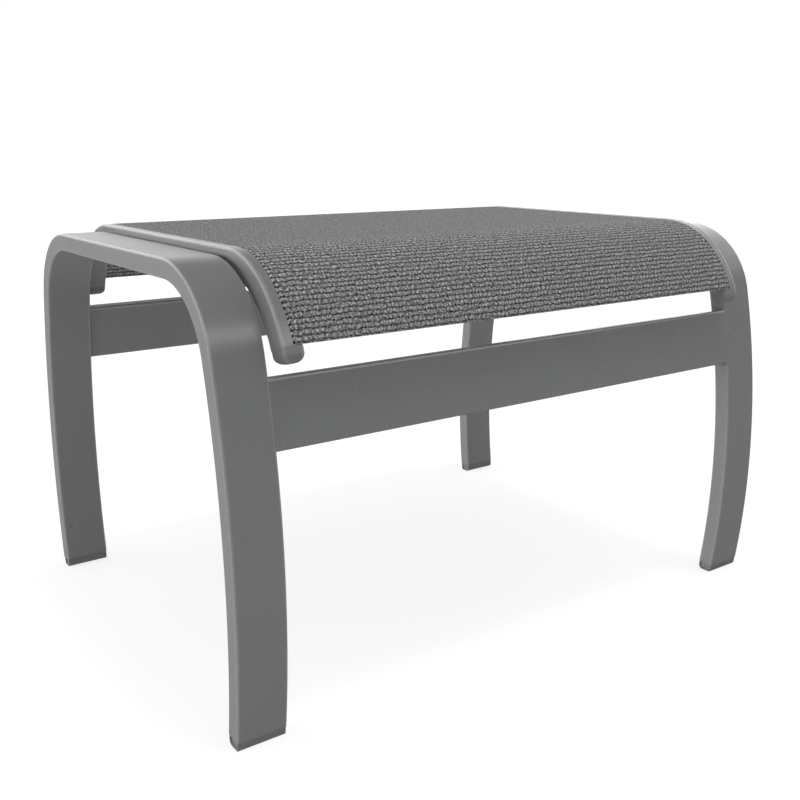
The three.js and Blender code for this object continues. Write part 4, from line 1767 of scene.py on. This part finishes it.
@dataclass(frozen=True)
class Fastening:
    """The bolt, spacer and threaded insert that hold a rail and a spreader tab to a side frame."""

    bolt_radius: float = 2.4 * MM
    head_radius: float = 4.6 * MM
    head_height: float = 3 * MM
    socket_width: float = 3 * MM
    socket_depth: float = 1.6 * MM
    spacer_radius: float = 7 * MM
    insert_body: float = 3.8 * MM
    insert_flange: float = 5 * MM
    flange_thickness: float = 0.8 * MM
    insert_depth: float = 10 * MM
    tab_thickness: float = 4 * MM
    points_round: int = 48
    head_dome: float = 0.85
    dome_start: float = 0.98 * QUARTER
    dome_steps: int = 11
    rim: float = 0.3 * MM
    eased: float = 0.1 * MM
    thread_depth: float = 0.12 * MM
    thread_rows: int = 67
    tip_length: float = 0.6 * MM
    tip_inset: float = 0.5 * MM
    ring_support: float = 0.15 * MM

    @property
    def bore(self) -> float:
        """The bolt holes' radius."""
        return self.bolt_radius + SEAT_GAP

    def bolt(self, side: Side, end: End) -> bpy.types.Object:
        """A button-head bolt: a domed head with a six-sided socket, and a threaded shank.

        The socket's radius is half its width over the cosine of the angle from the nearest flat.

        Args:
            side: Which side frame it goes into.
            end: The front or rear one.

        Returns:
            The piece.
        """
        start = LAYOUT.rail_inboard - SEAT_GAP - self.tab_thickness - SEAT_GAP - self.head_height
        length = LAYOUT.frame_inboard + self.insert_depth - start
        half_socket, radius = self.socket_width / 2, self.head_radius
        flat = half_socket / math.cos(30 * DEGREE) + self.rim
        turn = np.linspace(self.dome_start, 0, self.dome_steps + 1)
        dome = np.stack([
            flat + (radius - flat) * np.cos(turn),
            self.head_height * self.head_dome * (1 - np.sin(turn)),
        ], axis=-1)
        thread = np.linspace(self.head_height, length - self.tip_length, self.thread_rows)
        groove = self.thread_depth * (np.arange(self.thread_rows) % 2)
        profile = np.concatenate([
            [[2 * self.eased, self.socket_depth + self.rim]],
            [[half_socket, self.socket_depth], [half_socket, self.eased]],
            dome,
            [[radius, self.head_height - self.eased], [radius - self.eased, self.head_height]],
            np.stack([self.bolt_radius - groove, thread], axis=-1),
            [[self.bolt_radius - self.tip_inset, length]],
        ])
        angle = np.linspace(0, FULL, self.points_round, endpoint=False)
        hexagon = 1 / np.cos((angle % (60 * DEGREE)) - 30 * DEGREE)
        facets = np.ones((len(profile), self.points_round))
        facets[1:3] = hexagon
        draft = turned(profile, side, start, end.value * LAYOUT.bar_setback, False, facets)
        return dress(draft, f"{end.word}_{side.word}_rail_bolt", STAINLESS.material)

    def ring(
        self, node: str, slot: Slot, finish: PaintedFinish | MetalFinish, profile: list,
        side: Side, end: End, start: float,
    ) -> bpy.types.Object:
        """A turned ring with its edges broken.

        Args:
            node: The node's last words.
            slot: The record's slot; not used.
            finish: Its finish.
            profile: Radius and distance pairs of its closed section.
            side: Which side frame.
            end: The front or rear fastening.
            start: Where its distances start.

        Returns:
            The piece.
        """
        section = supported(np.array(profile), self.ring_support)
        facets = np.ones((len(section), self.points_round))
        draft = turned(section, side, start, end.value * LAYOUT.bar_setback, True, facets)
        return dress(draft, f"{end.word}_{side.word}_{node}", finish.material)

    def build(self, side: Side, end: End) -> list[bpy.types.Object]:
        """The fastening's three pieces.

        Args:
            side: Which side frame.
            end: The front or rear fastening.

        Returns:
            The bolt, the threaded insert and the spacer.
        """
        flange_start = LAYOUT.frame_inboard - SEAT_GAP - self.flange_thickness
        body_end = LAYOUT.frame_inboard + self.insert_depth - flange_start
        insert = self.ring("threaded_insert", Slot.STEEL, STAINLESS, [
            [self.bore, 0],
            [self.insert_flange, 0],
            [self.insert_flange, self.flange_thickness],
            [self.insert_body, self.flange_thickness],
            [self.insert_body, body_end],
            [self.bore, body_end],
        ], side, end, flange_start)
        spacer_start = LAYOUT.rail_outboard + SEAT_GAP
        length = flange_start - SEAT_GAP - spacer_start
        spacer = self.ring("rail_spacer", Slot.SPLINE, SPLINE_PLASTIC, [
            [self.bore, 0],
            [self.spacer_radius, 0],
            [self.spacer_radius, length],
            [self.bore, length],
        ], side, end, spacer_start)
        return [self.bolt(side, end), insert, spacer]


class Part(Enum):
    """The parts of a ray's direction, in the order in which the world gives them."""

    ASIDE = 0
    BEHIND = 1
    HEIGHT = 2


@dataclass(frozen=True)
class Edge:
    """A soft edge of a bright patch: a smooth step from dark to bright in one part of the direction."""

    part: Part
    dark: float
    bright: float

    def share(self, hand: Tree, direction: object) -> bpy.types.NodeSocket:
        """How much of the patch's strength is left on this edge.

        Args:
            hand: The world's Tree.
            direction: The three parts of the ray's direction.

        Returns:
            A value from 0 to 1.
        """
        rises = self.dark < self.bright
        low, high = min(self.dark, self.bright), max(self.dark, self.bright)
        return hand.spread(direction[self.part.value], low, high, float(not rises), float(rises))


@dataclass(frozen=True)
class Patch:
    """A bright patch of the studio round the stool: its strength inside all of its soft edges."""

    strength: float
    edges: tuple[Edge, ...]

    def light(self, hand: Tree, direction: object) -> bpy.types.NodeSocket:
        """The patch's strength times what each edge leaves of it."""
        return hand.times(self.strength, *(edge.share(hand, direction) for edge in self.edges))


REAR_PATCHES = (
    Patch(0.85, (Edge(Part.HEIGHT, 0.62, 0.38), Edge(Part.BEHIND, -0.3, 0.1))),
    Patch(2.4, (Edge(Part.HEIGHT, 0.72, 0.5), Edge(Part.ASIDE, 0.45, 0.75), Edge(Part.BEHIND, -0.4, -0.1))),
    Patch(2.2, (
        Edge(Part.HEIGHT, 0.8, 0.62), Edge(Part.HEIGHT, 0.2, 0.4),
        Edge(Part.ASIDE, 0.3, -0.05), Edge(Part.BEHIND, -0.6, -0.2),
    )),
)
LOW_REAR_PATCH = Patch(0.65, (
    Edge(Part.HEIGHT, 0.04, 0.14), Edge(Part.HEIGHT, 0.46, 0.34),
    Edge(Part.ASIDE, 0.45, 0.15), Edge(Part.BEHIND, 0.05, 0.35),
))
FRONT_PATCH = Patch(3.4, (
    Edge(Part.HEIGHT, 0.4, 0.48), Edge(Part.HEIGHT, 0.66, 0.58), Edge(Part.BEHIND, -0.3, -0.55),
))
LEFT_WALL = Patch(9.0, (
    Edge(Part.HEIGHT, 0.0, 0.02), Edge(Part.HEIGHT, 0.3, 0.22),
    Edge(Part.ASIDE, -0.4, -0.7), Edge(Part.BEHIND, -0.3, 0.1),
))
RIGHT_WALL = Patch(6.0, (
    Edge(Part.HEIGHT, 0.0, 0.02), Edge(Part.HEIGHT, 0.3, 0.22), Edge(Part.ASIDE, 0.84, 0.94),
))


@dataclass(frozen=True)
class Studio:
    """The plain pale floor, the soft lights and the camera."""

    camera_place: tuple[float, float, float] = (-680.1 * MM, -961.4 * MM, 526.9 * MM)
    camera_turn: float = 35.299 * DEGREE
    camera_dip: float = 14.613 * DEGREE
    lens: float = 43.84
    sensor: float = 36
    floor_reach: float = 12.0
    floor_drop: float = 0.3 * MM
    floor_grey: float = 0.27
    floor_glow: float = 0.8
    floor_bounce: float = 0.61
    horizon_mirror: float = 0.12
    zenith_mirror: float = 0.14
    zenith_ambient: float = 0.89
    horizon_end: float = 0.4
    zenith_start: float = 0.6
    top_place: tuple[float, float, float] = (0.36, -0.5, 3.0)
    top_angle: float = 10 * DEGREE
    top_strength: float = 0.6
    front_place: tuple[float, float, float] = (1.8, -3.85, 2.65)
    front_size: float = 1.0
    front_power: float = 1.5

    def camera(self) -> None:
        """Places the camera at the photograph's viewing angle."""
        camera = bpy.data.objects.new("camera", bpy.data.cameras.new("camera"))
        camera.data.lens = self.lens
        camera.data.sensor_width = self.sensor
        camera.location = self.camera_place
        forward = Vector((
            math.sin(self.camera_turn) * math.cos(self.camera_dip),
            math.cos(self.camera_turn) * math.cos(self.camera_dip),
            -math.sin(self.camera_dip),
        ))
        camera.rotation_mode = "QUATERNION"
        camera.rotation_quaternion = forward.to_track_quat("-Z", "Y")
        bpy.context.scene.collection.objects.link(camera)
        bpy.context.scene.camera = camera

    def by_ray(self, hand: Tree, seen: object, mirrored: object, other: object) -> bpy.types.NodeSocket:
        """A strength that depends on the ray that meets it.

        Args:
            hand: The node tree's hand.
            seen: The strength for the camera, also through clear things.
            mirrored: The strength for reflections.
            other: The strength for the light that it gives.

        Returns:
            The strength.
        """
        paths = hand.add("LightPath")
        direct = hand.math("MAXIMUM", paths.outputs["Is Camera Ray"], paths.outputs["Is Transmission Ray"])
        return hand.blend(direct, hand.blend(paths.outputs["Is Glossy Ray"], other, mirrored), seen)

    def floor(self) -> None:
        """Lays the floor: white to the camera, darker under the stool, and dark in reflections."""
        reach, level = self.floor_reach, -self.floor_drop
        mesh = bpy.data.meshes.new("floor")
        corners = [(-reach, -reach), (reach, -reach), (reach, reach), (-reach, reach)]
        mesh.from_pydata([(x, y, level) for x, y in corners], [], [(0, 1, 2, 3)])
        floor = bpy.data.objects.new("floor", mesh)
        bpy.context.scene.collection.objects.link(floor)
        material = bpy.data.materials.new("floor")
        material.use_nodes = True
        hand = Tree(material.node_tree)
        hand.tree.nodes.clear()
        bounce = self.by_ray(hand, self.floor_glow, 0.0, self.floor_bounce)
        faint = hand.add("BsdfDiffuse", {"Color": (*(self.floor_grey,) * 3, 1)})
        glow = hand.add("Emission", {"Color": (1, 1, 1, 1), "Strength": bounce})
        surface = hand.add("AddShader", {0: faint.outputs[0], 1: glow.outputs[0]})
        hand.add("OutputMaterial", {0: surface.outputs[0]})
        mesh.materials.append(material)

    def lamp(self, name: str, kind: str, place: tuple, energy: float, **settings: float) -> bpy.types.Object:
        """Adds a lamp that points at the stool.

        Args:
            name: The lamp's name.
            kind: Blender's word for its kind.
            place: Where it stands.
            energy: Its power or strength.
            settings: Its size or angle.

        Returns:
            The lamp.
        """
        data = bpy.data.lights.new(name, kind)
        data.energy = energy
        for key, value in settings.items():
            setattr(data, key, value)
        lamp = bpy.data.objects.new(name, data)
        lamp.location = place
        lamp.rotation_mode = "QUATERNION"
        lamp.rotation_quaternion = Vector(place).to_track_quat("Z", "Y")
        bpy.context.scene.collection.objects.link(lamp)
        return lamp

    def lights(self) -> None:
        """Two soft lamps, and a world that is white where it is seen, and patches of light in reflections.

        Between the horizon and the zenith the world's strength follows a smooth step on the ray's height.
        The patches behind the stool overlap, so the brightest of them counts. All others are added.
        """
        self.lamp("front_panel", "AREA", self.front_place, self.front_power, size=self.front_size)
        ceiling = self.lamp("ceiling", "SUN", self.top_place, self.top_strength, angle=self.top_angle)
        ceiling.visible_glossy = False
        world = bpy.data.worlds.new("world")
        bpy.context.scene.world = world
        world.use_nodes = True
        hand = Tree(world.node_tree)
        hand.tree.nodes.clear()
        direction = hand.add("SeparateXYZ", {0: hand.add("TexCoord").outputs["Generated"]}).outputs
        raised = hand.spread(direction[Part.HEIGHT.value], self.horizon_end, self.zenith_start, 0.0, 1.0)
        rear = hand.fold("MAXIMUM", *(patch.light(hand, direction) for patch in REAR_PATCHES))
        low_rear, front, left, right = (
            patch.light(hand, direction) for patch in (LOW_REAR_PATCH, FRONT_PATCH, LEFT_WALL, RIGHT_WALL)
        )
        even = hand.blend(raised, self.horizon_mirror, self.zenith_mirror)
        mirrored = hand.plus(even, low_rear, front, rear)
        ambient = hand.plus(hand.times(raised, self.zenith_ambient), left, right)
        strength = self.by_ray(hand, 1.0, mirrored, ambient)
        light = hand.add("Background", {"Color": (1, 1, 1, 1), "Strength": strength})
        hand.add("OutputWorld", {0: light.outputs[0]})

    def build(self) -> None:
        """The whole studio, with colours shown as they are."""
        bpy.context.scene.view_settings.view_transform = "Standard"
        self.camera()
        self.floor()
        self.lights()


def main() -> None:
    logging.basicConfig(level=logging.INFO, format="%(name)s: %(message)s")
    Studio().build()
    for side in Side:
        SideFrame().build(side)
    for end in End:
        Stretcher().build(end)
    rail = SlingRail()
    for side in Side:
        rail.build(side)
        Spline().build(side)
    sling = Sling()
    sling.build()
    sling.flat
    for end in End:
        SpreaderBar().build(end)
    for side in Side:
        for end in End:
            FootGlide().build(side, end)
            RailCap(rail).build(side, end)
            Fastening().build(side, end)


if __name__ == "__main__":
    main()
